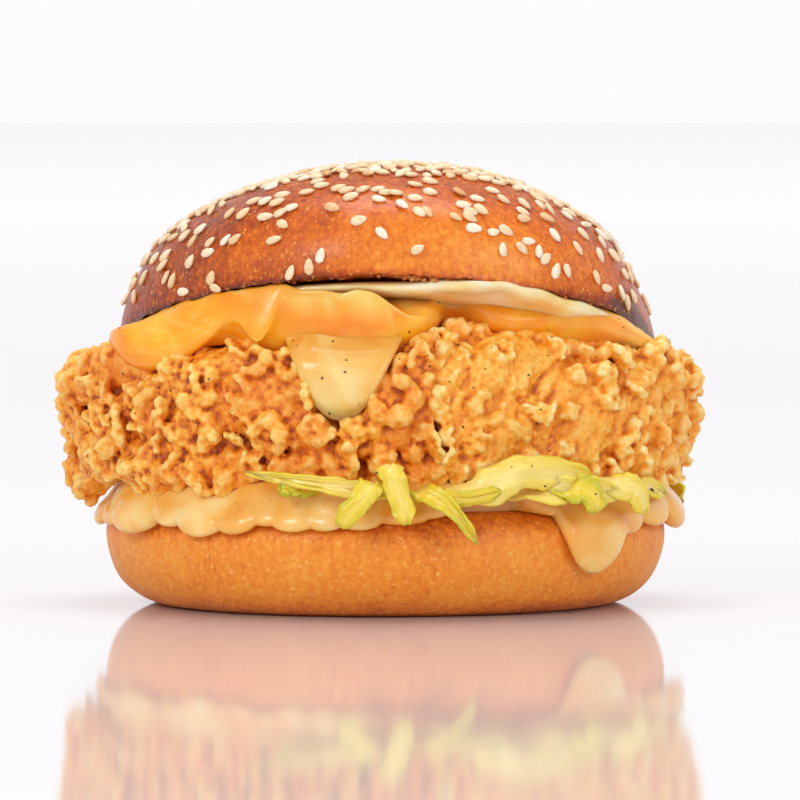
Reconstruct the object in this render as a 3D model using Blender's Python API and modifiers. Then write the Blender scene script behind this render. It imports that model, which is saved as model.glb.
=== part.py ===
# Crispy chicken burger: two fried fillets side by side with lettuce, melted cheese and cream sauce in a seeded bun.
# Metres, +Z up. The origin is the centre of the flat base it stands on, and the front faces -Y.

from math import acos, asin, atan2, copysign, cos, degrees, hypot, pi, radians, sin, sqrt, tau
from random import Random

import bmesh
import bpy
from mathutils import Euler, Matrix, Vector, noise
from mathutils.bvhtree import BVHTree

# Driving dimensions
GAP = 0.0004                # clearance between layers that touch
FRONT_FOCUS = 0.4           # radians by which the layers' columns close up towards the front

HEEL_RADIUS = 0.0556        # lower half of the bun, at its widest line
HEEL_BASE_RADIUS = 0.0430
HEEL_FLAT_RADIUS = 0.0490   # cut face inside the rounded top edge
HEEL_BELT = 0.0142          # height of the widest line
HEEL_TOP = 0.0204           # height of the cut face

CROWN_SHIFT = 0.0008        # upper half of the bun, to the right
CROWN_RADIUS = 0.0533
CROWN_RISE = 0.0270         # dome above its cut face
CROWN_FULLNESS = 2.25       # 2 is an ellipse, more is fuller
SEAT_HEIGHT = 0.0590        # the crown's cut face, at the middle
SEAT_SLOPE = 0.150          # it rises towards the front
SEAT_ARCH = 0.0058          # and droops at the left and right ends

HEAP_CENTRE = Vector((-0.0007, 0.0, 0.0406))   # the two fillets together
HEAP_LENGTH = 0.0621        # half, along X
HEAP_DEPTH = 0.0520         # half, along Y
HEAP_RISE = 0.0208          # from its widest line up
HEAP_SKIRT = 0.0270         # and down, as far as the floor below cuts it off
HEAP_SQUARENESS = 3.2
HEAP_FLOOR = 0.0254         # underside of the fillets
SHARED_BELT = 0.62          # radians from the top, where the layers' edges begin to differ
STACK = 0.0056              # cheese and sauces between the fillets and the crown
VALLEY = 0.0095             # X at which the fillets meet at the front
VALLEY_SLANT = 0.22         # towards the back the seam moves right
VALLEY_LEAN = 0.10          # and so it does downwards
VALLEY_ROUNDING = 0.0065

MIDDLE_SAUCE = (0.0005, 0.0012)   # lowest and highest face, above the heap
CHEESE = (0.0020, 0.0036)
TOP_SAUCE_SAG = 0.0042            # most that the top sauce bulges at its edge
BOTTOM_SAUCE = 0.0015             # thickness over the heel's cut face
BOTTOM_BEAD = 0.0038              # and of the bead that runs over its edge
BEAD_BUMPS = [(-158, 20, -0.0026), (-8, 15, -0.0026)]   # it is thicker at the left and right ends

LETTUCE_FLOOR = 0.0227
LETTUCE_BED = 0.0013
LETTUCE_RADIUS = 0.0455
SHRED_THICKNESS = 0.0010

SEED_SIZE = (0.0033, 0.0021, 0.0012)
SEED_COUNT = 64

# How far each layer's edge hangs, as bumps round the burger: angle in degrees (-90 is the front), half-width, drop
CHEESE_EDGE = 0.0527
CHEESE_BUMPS = [
    (-137, 13, 0.0050), (-112, 4, 0.0040), (-95, 8, 0.0012), (-75, 6, -0.0065), (-57, 6, -0.0030),
    (-34, 9, 0.0040), (22, 8, 0.0045), (38, 8, -0.0020), (66, 11, 0.0050), (110, 12, 0.0040), (154, 11, 0.0050),
]
MIDDLE_SAUCE_EDGE = 0.0570
MIDDLE_SAUCE_BUMPS = [(-97, 8.5, 0.0182), (-40, 6, 0.0050), (76, 7, 0.0110), (148, 8, 0.0040)]
BOTTOM_SAUCE_EDGE = 0.0166
BOTTOM_SAUCE_BUMPS = [
    (-166, 5, 0.0012), (-152, 6, 0.0024), (-140, 3.5, 0.0014), (-131, 5.5, 0.0028), (-121, 3.5, 0.0014),
    (-110, 5, 0.0020), (-100, 5, 0.0016), (-88, 5, 0.0012), (-67, 11, -0.0036), (-43.5, 8, 0.0078),
    (-20, 6, 0.0016), (-2, 6, 0.0020), (16, 7, 0.0032), (36, 6, 0.0012), (58, 9, 0.0058), (82, 7, 0.0016),
    (101, 6, 0.0028), (122, 8, 0.0014), (143, 7, 0.0044), (163, 6, 0.0014), (178, 5, 0.0022),
]

# Shreds that show: points as (angle, radius, height), then width at the root and at the tip
SHREDS = [
    [(-82, 0.043, 0.0234), (-90, 0.0562, 0.0246), (-102, 0.0582, 0.0264), (-115, 0.0586, 0.0280), 0.0042, 0.0008],
    [(-93, 0.042, 0.0234), (-90, 0.0582, 0.0264), (-87, 0.0618, 0.0262), (-86, 0.0626, 0.0186), 0.0030, 0.0028],
    [(-98, 0.042, 0.0234), (-96, 0.0580, 0.0252), (-99, 0.0615, 0.0226), (-94, 0.0628, 0.0178), 0.0034, 0.0022],
    [(-86, 0.042, 0.0234), (-83, 0.0582, 0.0248), (-80, 0.0622, 0.0212), (-76, 0.0612, 0.0152), 0.0042, 0.0008],
    [(-80, 0.043, 0.0234), (-78, 0.0568, 0.0244), (-73, 0.0590, 0.0234), (-68, 0.0592, 0.0244), 0.0026, 0.0018],
    [(-74, 0.042, 0.0234), (-71, 0.0555, 0.0246), (-60, 0.0556, 0.0282), (-47, 0.0576, 0.0272), 0.0052, 0.0036],
    [(-56, 0.042, 0.0234), (-53, 0.0582, 0.0248), (-50, 0.0618, 0.0248), (-47, 0.0630, 0.0200), 0.0060, 0.0030],
    [(-46, 0.042, 0.0234), (-42, 0.0582, 0.0246), (-39, 0.0625, 0.0232), (-37, 0.0632, 0.0192), 0.0054, 0.0026],
    [(-30, 0.043, 0.0234), (-28, 0.0565, 0.0244), (-24, 0.0588, 0.0234), (-20, 0.0596, 0.0218), 0.0034, 0.0014],
]
BACK_SHREDS = 9

# Crust: distance between crags on each fillet, their half-sizes, how cupped they are and how far they slant
LEFT_CRAGS = {"pitch": 0.0068, "size": (0.0046, 0.0034, 0.0018), "cup": 70.0, "slant": (0.4, 1.4), "seed": 11}
RIGHT_CRAGS = {"pitch": 0.0056, "size": (0.0042, 0.0022, 0.0018), "cup": 12.0, "slant": (0.0, 0.5), "seed": 23}
CRAG_CLEARANCE = 0.0012
CRUST_VOXEL = 0.0011
FILLET_TRIANGLES = 2250


def clear_scene():
    for obj in list(bpy.data.objects):
        bpy.data.objects.remove(obj)


def new_collection(name):
    collection = bpy.data.collections.new(name)
    bpy.context.scene.collection.children.link(collection)
    return collection


def new_material(name, colour, roughness):
    material = bpy.data.materials.new(name)
    material.use_nodes = True
    shader = material.node_tree.nodes["Principled BSDF"]
    shader.inputs["Base Color"].default_value = (*colour, 1.0)
    shader.inputs["Roughness"].default_value = roughness
    shader.inputs["Metallic"].default_value = 0.0
    return material


def new_object(name, bm, collection, material=None):
    """Turns a bmesh into a named, smooth-shaded object."""
    bmesh.ops.recalc_face_normals(bm, faces=bm.faces)
    mesh = bpy.data.meshes.new(name)
    bm.to_mesh(mesh)
    bm.free()
    mesh.shade_smooth()
    mesh.set_sharp_from_angle(angle=radians(50))
    obj = bpy.data.objects.new(name, mesh)
    collection.objects.link(obj)
    if material:
        mesh.materials.append(material)
    return obj


def bake_modifiers(obj):
    """Applies the modifiers by replacing the mesh with the evaluated one."""
    graph = bpy.context.evaluated_depsgraph_get()
    mesh = bpy.data.meshes.new_from_object(obj.evaluated_get(graph))
    obj.modifiers.clear()
    obj.data = mesh


def triangle_count(mesh):
    return sum(len(polygon.vertices) - 2 for polygon in mesh.polygons)


def uneven(angle, amount, phase):
    """Slow in-and-out of a hand-shaped round, as a factor near 1."""
    return 1 + amount * (sin(2 * angle + phase) + 0.6 * sin(3 * angle + 2.1 * phase) + 0.4 * sin(5 * angle - phase))


def edge_height(level, bumps, angle):
    """A level lowered by bumps round the burger, at an angle in radians."""
    height = level
    for middle, half_width, drop in bumps:
        apart = (degrees(angle) - middle + 180) % 360 - 180
        height -= drop * 2.718 ** -((apart / half_width) ** 2)
    return height


def seat(x, y):
    """Height of the crown's cut face."""
    return SEAT_HEIGHT - SEAT_SLOPE * y - SEAT_ARCH * (x / CROWN_RADIUS) ** 2


def half_height(up):
    return HEAP_RISE if up >= 0 else HEAP_SKIRT


def heap_skin(belt, angle):
    """A point on the two fillets together and its normal: belt is 0 at the top and pi / 2 on the widest line."""
    power = 2 / HEAP_SQUARENESS
    across = max(sin(belt), 0.0) ** power
    up = copysign(abs(cos(belt)) ** power, cos(belt))
    out = Vector((HEAP_LENGTH * across * cos(angle), HEAP_DEPTH * across * sin(angle), half_height(up) * up))
    lean = across ** (HEAP_SQUARENESS - 1)
    rise = copysign(abs(up) ** (HEAP_SQUARENESS - 1), up)
    normal = Vector((lean * cos(angle) / HEAP_LENGTH, lean * sin(angle) / HEAP_DEPTH, rise / half_height(up)))
    return HEAP_CENTRE + out, normal.normalized()


def heap_point(belt, angle, lift):
    """A point this high above the two fillets, pressed down by the crown."""
    skin, normal = heap_skin(belt, angle)
    point = skin + normal * lift
    point.z = min(point.z, seat(point.x, point.y) - STACK + lift)
    return point


def spread(share, edge):
    """Belt angle at a share of a layer: up to a share of 0.4 it is the same for all layers over the heap."""
    return share / 0.4 * SHARED_BELT if share <= 0.4 else SHARED_BELT + (share - 0.4) / 0.6 * (edge - SHARED_BELT)


def belt_at(height):
    """The belt angle at which the heap's side is at this height."""
    share = max(-1.0, min(1.0, (height - HEAP_CENTRE.z) / half_height(height - HEAP_CENTRE.z)))
    return acos(copysign(abs(share) ** (HEAP_SQUARENESS / 2), share))


def heel_point(reach, angle, lift):
    """A point over the heel: reach runs 0 to 1 over the cut face, to 2 round the top edge, to 3 down to the base."""
    edge = HEEL_RADIUS - HEEL_FLAT_RADIUS
    if reach <= 1:
        radius, height, normal = HEEL_FLAT_RADIUS * reach, HEEL_TOP, (0.0, 1.0)
    else:
        turn = (2 - reach) * pi / 2
        wide = edge if turn >= 0 else HEEL_RADIUS - HEEL_BASE_RADIUS
        tall = HEEL_TOP - HEEL_BELT if turn >= 0 else HEEL_BELT
        radius = HEEL_RADIUS - wide + wide * cos(turn)
        height = HEEL_BELT + tall * sin(turn)
        length = hypot(cos(turn) / wide, sin(turn) / tall)
        normal = (cos(turn) / wide / length, sin(turn) / tall / length)
    radius = radius * uneven(angle, 0.006, 0.7) + lift * normal[0]
    return Vector((radius * cos(angle), radius * sin(angle), height + lift * normal[1]))


def heel_reach(height):
    """The reach at which the heel's side is at this height."""
    tall = HEEL_TOP - HEEL_BELT if height >= HEEL_BELT else HEEL_BELT
    return 2 - asin(max(-1.0, min(1.0, (height - HEEL_BELT) / tall))) / (pi / 2)


def cushion(name, place, segments, shares, collection, material):
    """A closed layer from a sphere: place gives a point for share (0 middle, 1 edge), angle and level (-1 to 1)."""
    rings = len(shares) - 1
    bm = bmesh.new()
    bmesh.ops.create_uvsphere(bm, u_segments=segments, v_segments=2 * rings, radius=1.0)
    for vert in bm.verts:
        ring = round(atan2(hypot(vert.co.x, vert.co.y), abs(vert.co.z)) / (pi / 2) * rings)
        angle = atan2(vert.co.y, vert.co.x) if ring else 0.0
        level = copysign(sqrt(1 - shares[ring] ** 8), vert.co.z)
        vert.co = place(shares[ring], angle - FRONT_FOCUS * cos(angle), level)
    return new_object(name, bm, collection, material)


def turned(name, profile, steps, shape, collection, material):
    """Spins a profile of (radius, height) points with a Screw, then moves each point by shape."""
    bm = bmesh.new()
    line = [bm.verts.new((radius, 0.0, height)) for radius, height in profile]
    for pair in zip(line, line[1:]):
        bm.edges.new(pair)
    mesh = bpy.data.meshes.new(name)
    bm.to_mesh(mesh)
    bm.free()
    obj = bpy.data.objects.new(name, mesh)
    collection.objects.link(obj)
    screw = obj.modifiers.new("Turn", "SCREW")
    screw.steps = screw.render_steps = steps
    screw.use_merge_vertices = True
    screw.merge_threshold = 0.00005
    bpy.context.view_layer.update()
    bake_modifiers(obj)
    for vert in obj.data.vertices:
        vert.co = shape(vert.co)
    obj.data.shade_smooth()
    obj.data.set_sharp_from_angle(angle=radians(50))
    obj.data.materials.append(material)
    return obj


def make_heel(collection, material):
    top_arc = [heel_point(1 + step / 5, 0, 0) for step in range(6)]
    side_arc = [heel_point(2 + step / 6, 0, 0) for step in range(1, 7)]
    rounding = uneven(0, 0.006, 0.7)
    profile = [(0.0, HEEL_TOP), (HEEL_FLAT_RADIUS * 0.5, HEEL_TOP)]
    profile += [(point.x / rounding, point.z) for point in top_arc + side_arc]
    profile += [(HEEL_BASE_RADIUS * 0.5, 0.0), (0.0, 0.0)]

    def shape(co):
        factor = uneven(atan2(co.y, co.x), 0.006, 0.7)
        return Vector((co.x * factor, co.y * factor, max(co.z, 0.0)))

    return turned("bun_bottom", profile, 38, shape, collection, material)


def make_bottom_sauce(collection, material):
    def place(share, angle, level):
        reach = heel_reach(edge_height(BOTTOM_SAUCE_EDGE, BOTTOM_SAUCE_BUMPS, angle))
        at = share / 0.4 if share <= 0.4 else 1 + (share - 0.4) / 0.6 * (reach - 1)
        over = max(0.0, min(1.0, (at - 1.05) / 0.55))
        drop = max(0.0, min(1.0, (at - 1.9) / 0.5))
        bead = edge_height(BOTTOM_BEAD, BEAD_BUMPS, angle)
        thickness = BOTTOM_SAUCE + (bead - BOTTOM_SAUCE) * over * (1 - 0.35 * drop)
        return heel_point(at, angle, GAP + thickness * (level + 1) / 2)

    return cushion("sauce_bottom", place, 52, (0, 0.4, 0.52, 0.64, 0.76, 0.88, 1), collection, material)


def make_middle_sauce(collection, material):
    def place(share, angle, level):
        belt = spread(share, belt_at(edge_height(MIDDLE_SAUCE_EDGE, MIDDLE_SAUCE_BUMPS, angle)))
        low, high = MIDDLE_SAUCE
        hanging = max(0.0, min(1.0, (belt - belt_at(CHEESE_EDGE - 0.0022)) / 0.12))
        return heap_point(belt, angle, low + (high - low + 0.0012 * hanging) * (level + 1) / 2)

    return cushion("sauce_middle", place, 48, (0, 0.24, 0.4, 0.55, 0.7, 0.86, 1), collection, material)


def make_cheese(collection, material):
    def place(share, angle, level):
        belt = spread(share, belt_at(edge_height(CHEESE_EDGE, CHEESE_BUMPS, angle)))
        low, high = CHEESE
        return heap_point(belt, angle, low + (high - low) * (level + 1) / 2)

    return cushion("cheese", place, 48, (0, 0.24, 0.4, 0.55, 0.7, 0.86, 1), collection, material)


def make_top_sauce(collection, material):
    def place(share, angle, level):
        reach = radians(50) + radians(4) * sin(3 * angle + 0.6) + radians(2.5) * sin(7 * angle)
        foot = heap_point(spread(share, reach), angle, CHEESE[1] + 1.6 * GAP)
        top = min(seat(foot.x, foot.y) - GAP, foot.z + TOP_SAUCE_SAG)
        return Vector((foot.x, foot.y, foot.z + (top - foot.z) * (level + 1) / 2))

    return cushion("sauce_top", place, 48, (0, 0.24, 0.4, 0.6, 0.8, 1), collection, material)


def route_point(points, share):
    """A smooth curve through the points, as (angle, radius, height), at a share of its length."""
    spans = len(points) - 1
    index = min(int(share * spans), spans - 1)
    t = share * spans - index
    a, b, c, d = (Vector(points[max(0, min(spans, index + k))]) for k in (-1, 0, 1, 2))
    at = 0.5 * (2 * b + (c - a) * t + (2 * a - 5 * b + 4 * c - d) * t * t + (3 * b - a - 3 * c + d) * t ** 3)
    angle = radians(at.x)
    return Vector((at.y * cos(angle), at.y * sin(angle), at.z))


def make_shred(index, points, root_width, tip_width, cells, collection):
    """A thin wavy strip along a route, both faces split into the same triangles."""
    bm = bmesh.new()
    bmesh.ops.create_grid(bm, x_segments=cells[0], y_segments=cells[1], size=0.5)
    for vert in bm.verts:
        share = vert.co.x + 0.5
        at = route_point(points, share)
        along = (route_point(points, min(share + 0.05, 1.0)) - route_point(points, max(share - 0.05, 0.0))).normalized()
        outward = Vector((at.x, at.y, 0.0)).normalized()
        facing = Vector((0, 0, 1)).lerp(outward, min(share * 1.6, 1.0))
        side = along.cross(facing).normalized()
        width = root_width + (tip_width - root_width) * share ** 2
        crease = 0.0005 * cos(vert.co.y * tau) * sin(share * 9 + index)
        vert.co = at + side * (vert.co.y * width) + along.cross(side) * crease
    bmesh.ops.triangulate(bm, faces=bm.faces)
    shred = new_object(f"shred_{index}", bm, collection)
    leaf = shred.modifiers.new("Leaf", "SOLIDIFY")
    leaf.thickness = SHRED_THICKNESS
    leaf.offset = 0.0
    bpy.context.view_layer.update()
    bake_modifiers(shred)


def back_routes():
    """Shreds by rule round the sides and the back, which the front view doesn't show."""
    draw = Random(7)
    for step in range(BACK_SHREDS):
        angle = 18 + step * 138 / (BACK_SHREDS - 1) + draw.uniform(-4, 4)
        turn = draw.uniform(-9, 9)
        yield [
            (angle, 0.042, 0.0234),
            (angle + turn * 0.3, 0.0560, 0.0240 + draw.uniform(0, 0.0008)),
            (angle + turn * 0.7, 0.0612, 0.0226),
            (angle + turn, 0.0618 + draw.uniform(0, 0.0008), 0.0180 + draw.uniform(0, 0.0040)),
            draw.uniform(0.0030, 0.0055),
            draw.uniform(0.0010, 0.0030),
        ]


def keep_largest(bm):
    """Drops loose scraps and the walls of sealed hollows, which are their own islands."""
    left = set(bm.verts)
    islands = []
    while left:
        stack = [left.pop()]
        island = set(stack)
        while stack:
            for edge in stack.pop().link_edges:
                for vert in edge.verts:
                    if vert in left:
                        left.remove(vert)
                        island.add(vert)
                        stack.append(vert)
        islands.append(island)
    islands.sort(key=len)
    bmesh.ops.delete(bm, geom=[vert for island in islands[:-1] for vert in island], context="VERTS")


def join_collection(obj, collection):
    """Fuses a collection of small solids into obj with one union, fills what that seals, then removes them."""
    union = obj.modifiers.new("Fuse", "BOOLEAN")
    union.operation = "UNION"
    union.solver = "MANIFOLD"
    union.operand_type = "COLLECTION"
    union.collection = collection
    bpy.context.view_layer.update()
    bake_modifiers(obj)
    fused = bmesh.new()
    fused.from_mesh(obj.data)
    keep_largest(fused)
    fused.to_mesh(obj.data)
    fused.free()
    for small in list(collection.objects):
        bpy.data.objects.remove(small)
    bpy.data.collections.remove(collection)


def make_lettuce(collection, material):
    def place(share, angle, level):
        radius = share * LETTUCE_RADIUS * uneven(angle, 0.012, 2.2)
        height = LETTUCE_FLOOR + LETTUCE_BED * (level + 1) / 2
        return Vector((radius * cos(angle), radius * sin(angle), height))

    bed = cushion("lettuce", place, 32, (0, 0.7, 0.93, 1), collection, material)
    shreds = new_collection("shreds")
    for index, row in enumerate(SHREDS + list(back_routes())):
        cells = (5, 2) if index < len(SHREDS) else (4, 1)
        make_shred(index, row[:-2], row[-2], row[-1], cells, shreds)
    join_collection(bed, shreds)
    return bed


def past_valley(point, side):
    """Distance from the seam between the fillets, positive on this fillet's own side."""
    seam = VALLEY + VALLEY_SLANT * (point.y + HEAP_DEPTH) + VALLEY_LEAN * (HEAP_CENTRE.z - point.z)
    return side * (point.x - seam) - GAP / 2


def outside(point, side):
    """Over 1 outside a fillet: the heap's own form, cut and rounded at the seam."""
    away = point - HEAP_CENTRE
    plan = hypot(away.x / HEAP_LENGTH, away.y / HEAP_DEPTH)
    tall = abs(away.z) / half_height(away.z)
    inward = max(0.0, 1 - past_valley(point, side) / VALLEY_ROUNDING)
    power = HEAP_SQUARENESS
    return (plan ** power + tall ** power + inward ** power) ** (1 / power)


def fillet_skin(middle, direction, side):
    """Walks outwards from the middle of a fillet to its skin, and presses that under the crown."""
    near, far = 0.0, 0.12
    for _ in range(26):
        halfway = (near + far) / 2
        if outside(middle + direction * halfway, side) < 1:
            near = halfway
        else:
            far = halfway
    skin = middle + direction * near
    skin += direction * (noise.noise(skin * 90) * 0.0008 - 0.0006)
    ceiling = seat(skin.x, skin.y) - STACK - GAP
    return Vector((skin.x, skin.y, max(HEAP_FLOOR, min(skin.z, ceiling))))


def crag_places(side, crags, draw):
    """Staggered rows round the sides of the heap, as far as they are on this fillet."""
    pitch = crags["pitch"]
    rows = int((CHEESE_EDGE + 0.004 - HEAP_FLOOR) / pitch / 0.87)
    columns = int(tau * (HEAP_LENGTH + HEAP_DEPTH) / 2 / pitch)
    for row in range(rows):
        height = HEAP_FLOOR + 0.0012 + (row + draw.uniform(-0.2, 0.2)) * pitch * 0.87
        for column in range(columns):
            angle = (column + 0.5 * (row % 2) + draw.uniform(-0.3, 0.3)) * tau / columns
            skin, normal = heap_skin(belt_at(height), angle)
            if past_valley(skin, side) > 0.0022:
                yield skin - normal * 0.0004, normal


def add_crag(bm, at, outward, size, crags, draw):
    """One crag: a cupped, flattened ball on the skin, slanted and turned at random."""
    slant = Euler((draw.uniform(*crags["slant"]), 0, draw.uniform(0.5, 1.4))).to_matrix()
    if crags["slant"][0] > 0:
        slant = Matrix.Rotation(draw.uniform(0, tau), 3, "Z") @ slant
    turn = outward.to_track_quat("Z", "Y").to_matrix() @ slant
    scale = [length * draw.uniform(0.75, 1.2) for length in size]
    for vert in bmesh.ops.create_icosphere(bm, subdivisions=2, radius=1.0)["verts"]:
        shaped = Vector((vert.co.x * scale[0], vert.co.y * scale[1], vert.co.z * scale[2]))
        shaped.z += crags["cup"] * (shaped.x ** 2 + shaped.y ** 2)
        vert.co = at + turn @ shaped


def make_fillet(name, side, crags, covers, collection, material):
    middle = HEAP_CENTRE.copy()
    middle.x = 0.0400 if side > 0 else -0.0200
    draw = Random(crags["seed"])
    bm = bmesh.new()
    bmesh.ops.create_uvsphere(bm, u_segments=64, v_segments=40, radius=1.0)
    for vert in bm.verts:
        vert.co = fillet_skin(middle, vert.co.normalized(), side)
    graph = bpy.context.evaluated_depsgraph_get()
    trees = [BVHTree.FromObject(cover, graph) for cover in covers]
    reach = max(crags["size"]) * 1.2
    for at, outward in crag_places(side, crags, draw):
        room = min(tree.find_nearest(at)[3] for tree in trees) - CRAG_CLEARANCE
        if room > 0.0012:
            shrink = min(1.0, room / reach)
            add_crag(bm, at, outward, [length * shrink for length in crags["size"]], crags, draw)
    fillet = new_object(name, bm, collection, material)
    crust = fillet.modifiers.new("Crust", "REMESH")
    crust.mode = "VOXEL"
    crust.voxel_size = CRUST_VOXEL
    bpy.context.view_layer.update()
    bake_modifiers(fillet)
    shell = bmesh.new()
    shell.from_mesh(fillet.data)
    keep_largest(shell)
    shell.to_mesh(fillet.data)
    shell.free()
    thin = fillet.modifiers.new("Thin", "DECIMATE")
    thin.ratio = FILLET_TRIANGLES / triangle_count(fillet.data)
    bpy.context.view_layer.update()
    bake_modifiers(fillet)
    fillet.data.shade_smooth()
    fillet.data.set_sharp_from_angle(angle=radians(50))
    return fillet


def crown_point(share, angle):
    """A point on the crown's dome: share is 0 at the top and 1 at the rim."""
    radius = share * CROWN_RADIUS * uneven(angle, 0.005, 1.9)
    x, y = CROWN_SHIFT + radius * cos(angle), radius * sin(angle)
    rise = CROWN_RISE * max(0.0, 1 - share ** CROWN_FULLNESS) ** (1 / CROWN_FULLNESS)
    return Vector((x, y, seat(x, y) + rise))


def crown_normal(share, angle):
    step = 0.01
    inner, outer = crown_point(max(share - step, 0.0), angle), crown_point(share + step, angle)
    left, right = crown_point(share, angle - step), crown_point(share, angle + step)
    return (outer - inner).cross(right - left).normalized()


def seed_places(count):
    """Spreads seeds over the dome, close at the top and sparse low down, and none at the front rim."""
    draw = Random(5)
    placed = []
    while len(placed) < count:
        best, best_room = None, -1.0
        for _ in range(14):
            share, angle = sqrt(draw.uniform(0.0, 0.93)), draw.uniform(-pi, pi)
            front = max(0.0, -sin(angle)) ** 2
            if share > 0.965 - 0.10 * front:
                continue
            at = crown_point(share, angle)
            sparse = 1.0 + 1.3 * max(0.0, share - 0.62) / 0.38 * (0.45 + 0.55 * front)
            room = min(((at - other[0]).length for other in placed), default=1.0) / sparse
            if room > best_room:
                best, best_room = (at, share, angle), room
        placed.append((*best, draw.uniform(0, tau), draw.uniform(0.86, 1.12)))
    return placed


def make_seed(index, at, normal, turn, scale, collection):
    """A sesame seed: a flat drop with one narrower end, sunk a little into the crust."""
    bm = bmesh.new()
    bmesh.ops.create_uvsphere(bm, u_segments=6, v_segments=3, radius=0.5)
    pose = normal.to_track_quat("Z", "Y").to_matrix() @ Matrix.Rotation(turn, 3, "Z")
    for vert in bm.verts:
        narrow = 1 - 0.5 * vert.co.x
        length, width, height = SEED_SIZE
        shaped = Vector((vert.co.x * length, vert.co.y * width * narrow, vert.co.z * height)) * scale
        vert.co = at + normal * 0.00022 + pose @ shaped
    new_object(f"seed_{index}", bm, collection)


def make_crown(collection, material):
    arc = 11
    profile = []
    for step in range(arc + 1):
        share = sin(step / arc * pi / 2)
        profile.append((CROWN_RADIUS * share, CROWN_RISE * max(0.0, 1 - share ** CROWN_FULLNESS) ** (1 / CROWN_FULLNESS)))
    profile += [(CROWN_RADIUS * share, 0.0) for share in (0.7, 0.4, 0.0)]

    def shape(co):
        factor = uneven(atan2(co.y, co.x), 0.005, 1.9)
        x, y = CROWN_SHIFT + co.x * factor, co.y * factor
        return Vector((x, y, co.z + seat(x, y)))

    crown = turned("bun_top", profile, 40, shape, collection, material)
    seeds = new_collection("seeds")
    for index, (at, share, angle, turn, scale) in enumerate(seed_places(SEED_COUNT)):
        make_seed(index, at, crown_normal(share, angle), turn, scale, seeds)
    join_collection(crown, seeds)
    return crown


def main():
    clear_scene()
    burger = new_collection("chicken_burger")
    crust = new_material("fried_crust", (0.80, 0.42, 0.11), 0.50)
    bun = new_material("bun_crust", (0.58, 0.24, 0.06), 0.35)
    pale_bun = new_material("bun_side", (0.72, 0.36, 0.10), 0.45)
    cream = new_material("cream_sauce", (0.92, 0.74, 0.42), 0.25)
    melted = new_material("melted_cheese", (0.95, 0.52, 0.06), 0.25)
    leaf = new_material("lettuce_leaf", (0.70, 0.74, 0.26), 0.40)

    make_heel(burger, pale_bun)
    bottom_sauce = make_bottom_sauce(burger, cream)
    lettuce = make_lettuce(burger, leaf)
    middle_sauce = make_middle_sauce(burger, cream)
    cheese = make_cheese(burger, melted)
    make_top_sauce(burger, cream)
    covers = [bottom_sauce, lettuce, middle_sauce, cheese]
    make_fillet("chicken_left", -1, LEFT_CRAGS, covers, burger, crust)
    make_fillet("chicken_right", 1, RIGHT_CRAGS, covers, burger, crust)
    make_crown(burger, bun)


main()
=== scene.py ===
import bpy
import bmesh
import numpy as np
from math import acos, asin, atan2, copysign, cos, degrees, exp, hypot, pi, radians, sin, sqrt, tau
from random import Random
from mathutils import Euler, Matrix, Vector, noise
from mathutils.bvhtree import BVHTree


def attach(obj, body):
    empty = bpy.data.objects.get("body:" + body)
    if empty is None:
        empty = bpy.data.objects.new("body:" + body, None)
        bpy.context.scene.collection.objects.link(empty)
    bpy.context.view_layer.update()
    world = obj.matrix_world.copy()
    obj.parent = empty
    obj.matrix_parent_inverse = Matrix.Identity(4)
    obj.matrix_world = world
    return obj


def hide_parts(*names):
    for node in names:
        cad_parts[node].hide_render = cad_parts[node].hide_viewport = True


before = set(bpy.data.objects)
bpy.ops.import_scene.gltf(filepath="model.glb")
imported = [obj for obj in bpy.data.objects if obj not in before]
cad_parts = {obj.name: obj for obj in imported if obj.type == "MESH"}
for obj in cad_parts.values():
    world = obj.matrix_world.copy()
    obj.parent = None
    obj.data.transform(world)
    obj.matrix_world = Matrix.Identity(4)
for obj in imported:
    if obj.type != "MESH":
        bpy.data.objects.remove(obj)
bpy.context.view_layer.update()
print("frame loaded")

# shapes that the layers share, the same as in the solids

heel = {"radius": 0.0556, "baseRadius": 0.0430, "flatRadius": 0.0490, "belt": 0.0142, "top": 0.0204}
crown = {"shift": 0.0008, "radius": 0.0533, "rise": 0.0270, "fullness": 2.25}
seatPlane = {"height": 0.0590, "slope": 0.150, "arch": 0.0058}
heap = {"centre": Vector((-0.0007, 0.0, 0.0406)), "length": 0.0621, "depth": 0.0520, "rise": 0.0208,
        "skirt": 0.0270, "square": 3.2, "floor": 0.0254, "stack": 0.0056}
studio = {"focus": (0.003, 0.0, 0.0404), "distance": 1.5, "elevation": 2.3, "frameWidth": 0.160,
          "pixel": 0.0002, "middlePixel": 400}
seam = {"x": 0.0095, "slant": 0.22, "lean": 0.10, "overlap": 0.0012, "rounding": 0.0026}


def smooth(low, high, value):
    t = max(0.0, min(1.0, (value - low) / (high - low)))
    return t * t * (3 - 2 * t)


def uneven(angle, amount, phase):
    return 1 + amount * (sin(2 * angle + phase) + 0.6 * sin(3 * angle + 2.1 * phase) + 0.4 * sin(5 * angle - phase))


def turnBetween(turn, middle):
    return (turn - middle + 180) % 360 - 180


def hump(value, middle, half):
    return exp(-(((value - middle) / half) ** 2))


def edgeHeight(level, bumps, angle, power=2):
    # the lower edge of a layer, let down or drawn up by bumps of (turn in degrees, half width, drop)
    height = level
    for middle, halfWidth, drop in bumps:
        height -= drop * exp(-(abs(turnBetween(degrees(angle), middle) / halfWidth) ** power))
    return height


def seatAt(x, y):
    return seatPlane["height"] - seatPlane["slope"] * y - seatPlane["arch"] * (x / crown["radius"]) ** 2


def halfHeight(up):
    return heap["rise"] if up >= 0 else heap["skirt"]


def heapShares(point):
    away = point - heap["centre"]
    return hypot(away.x / heap["length"], away.y / heap["depth"]), abs(away.z) / halfHeight(away.z)


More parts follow.
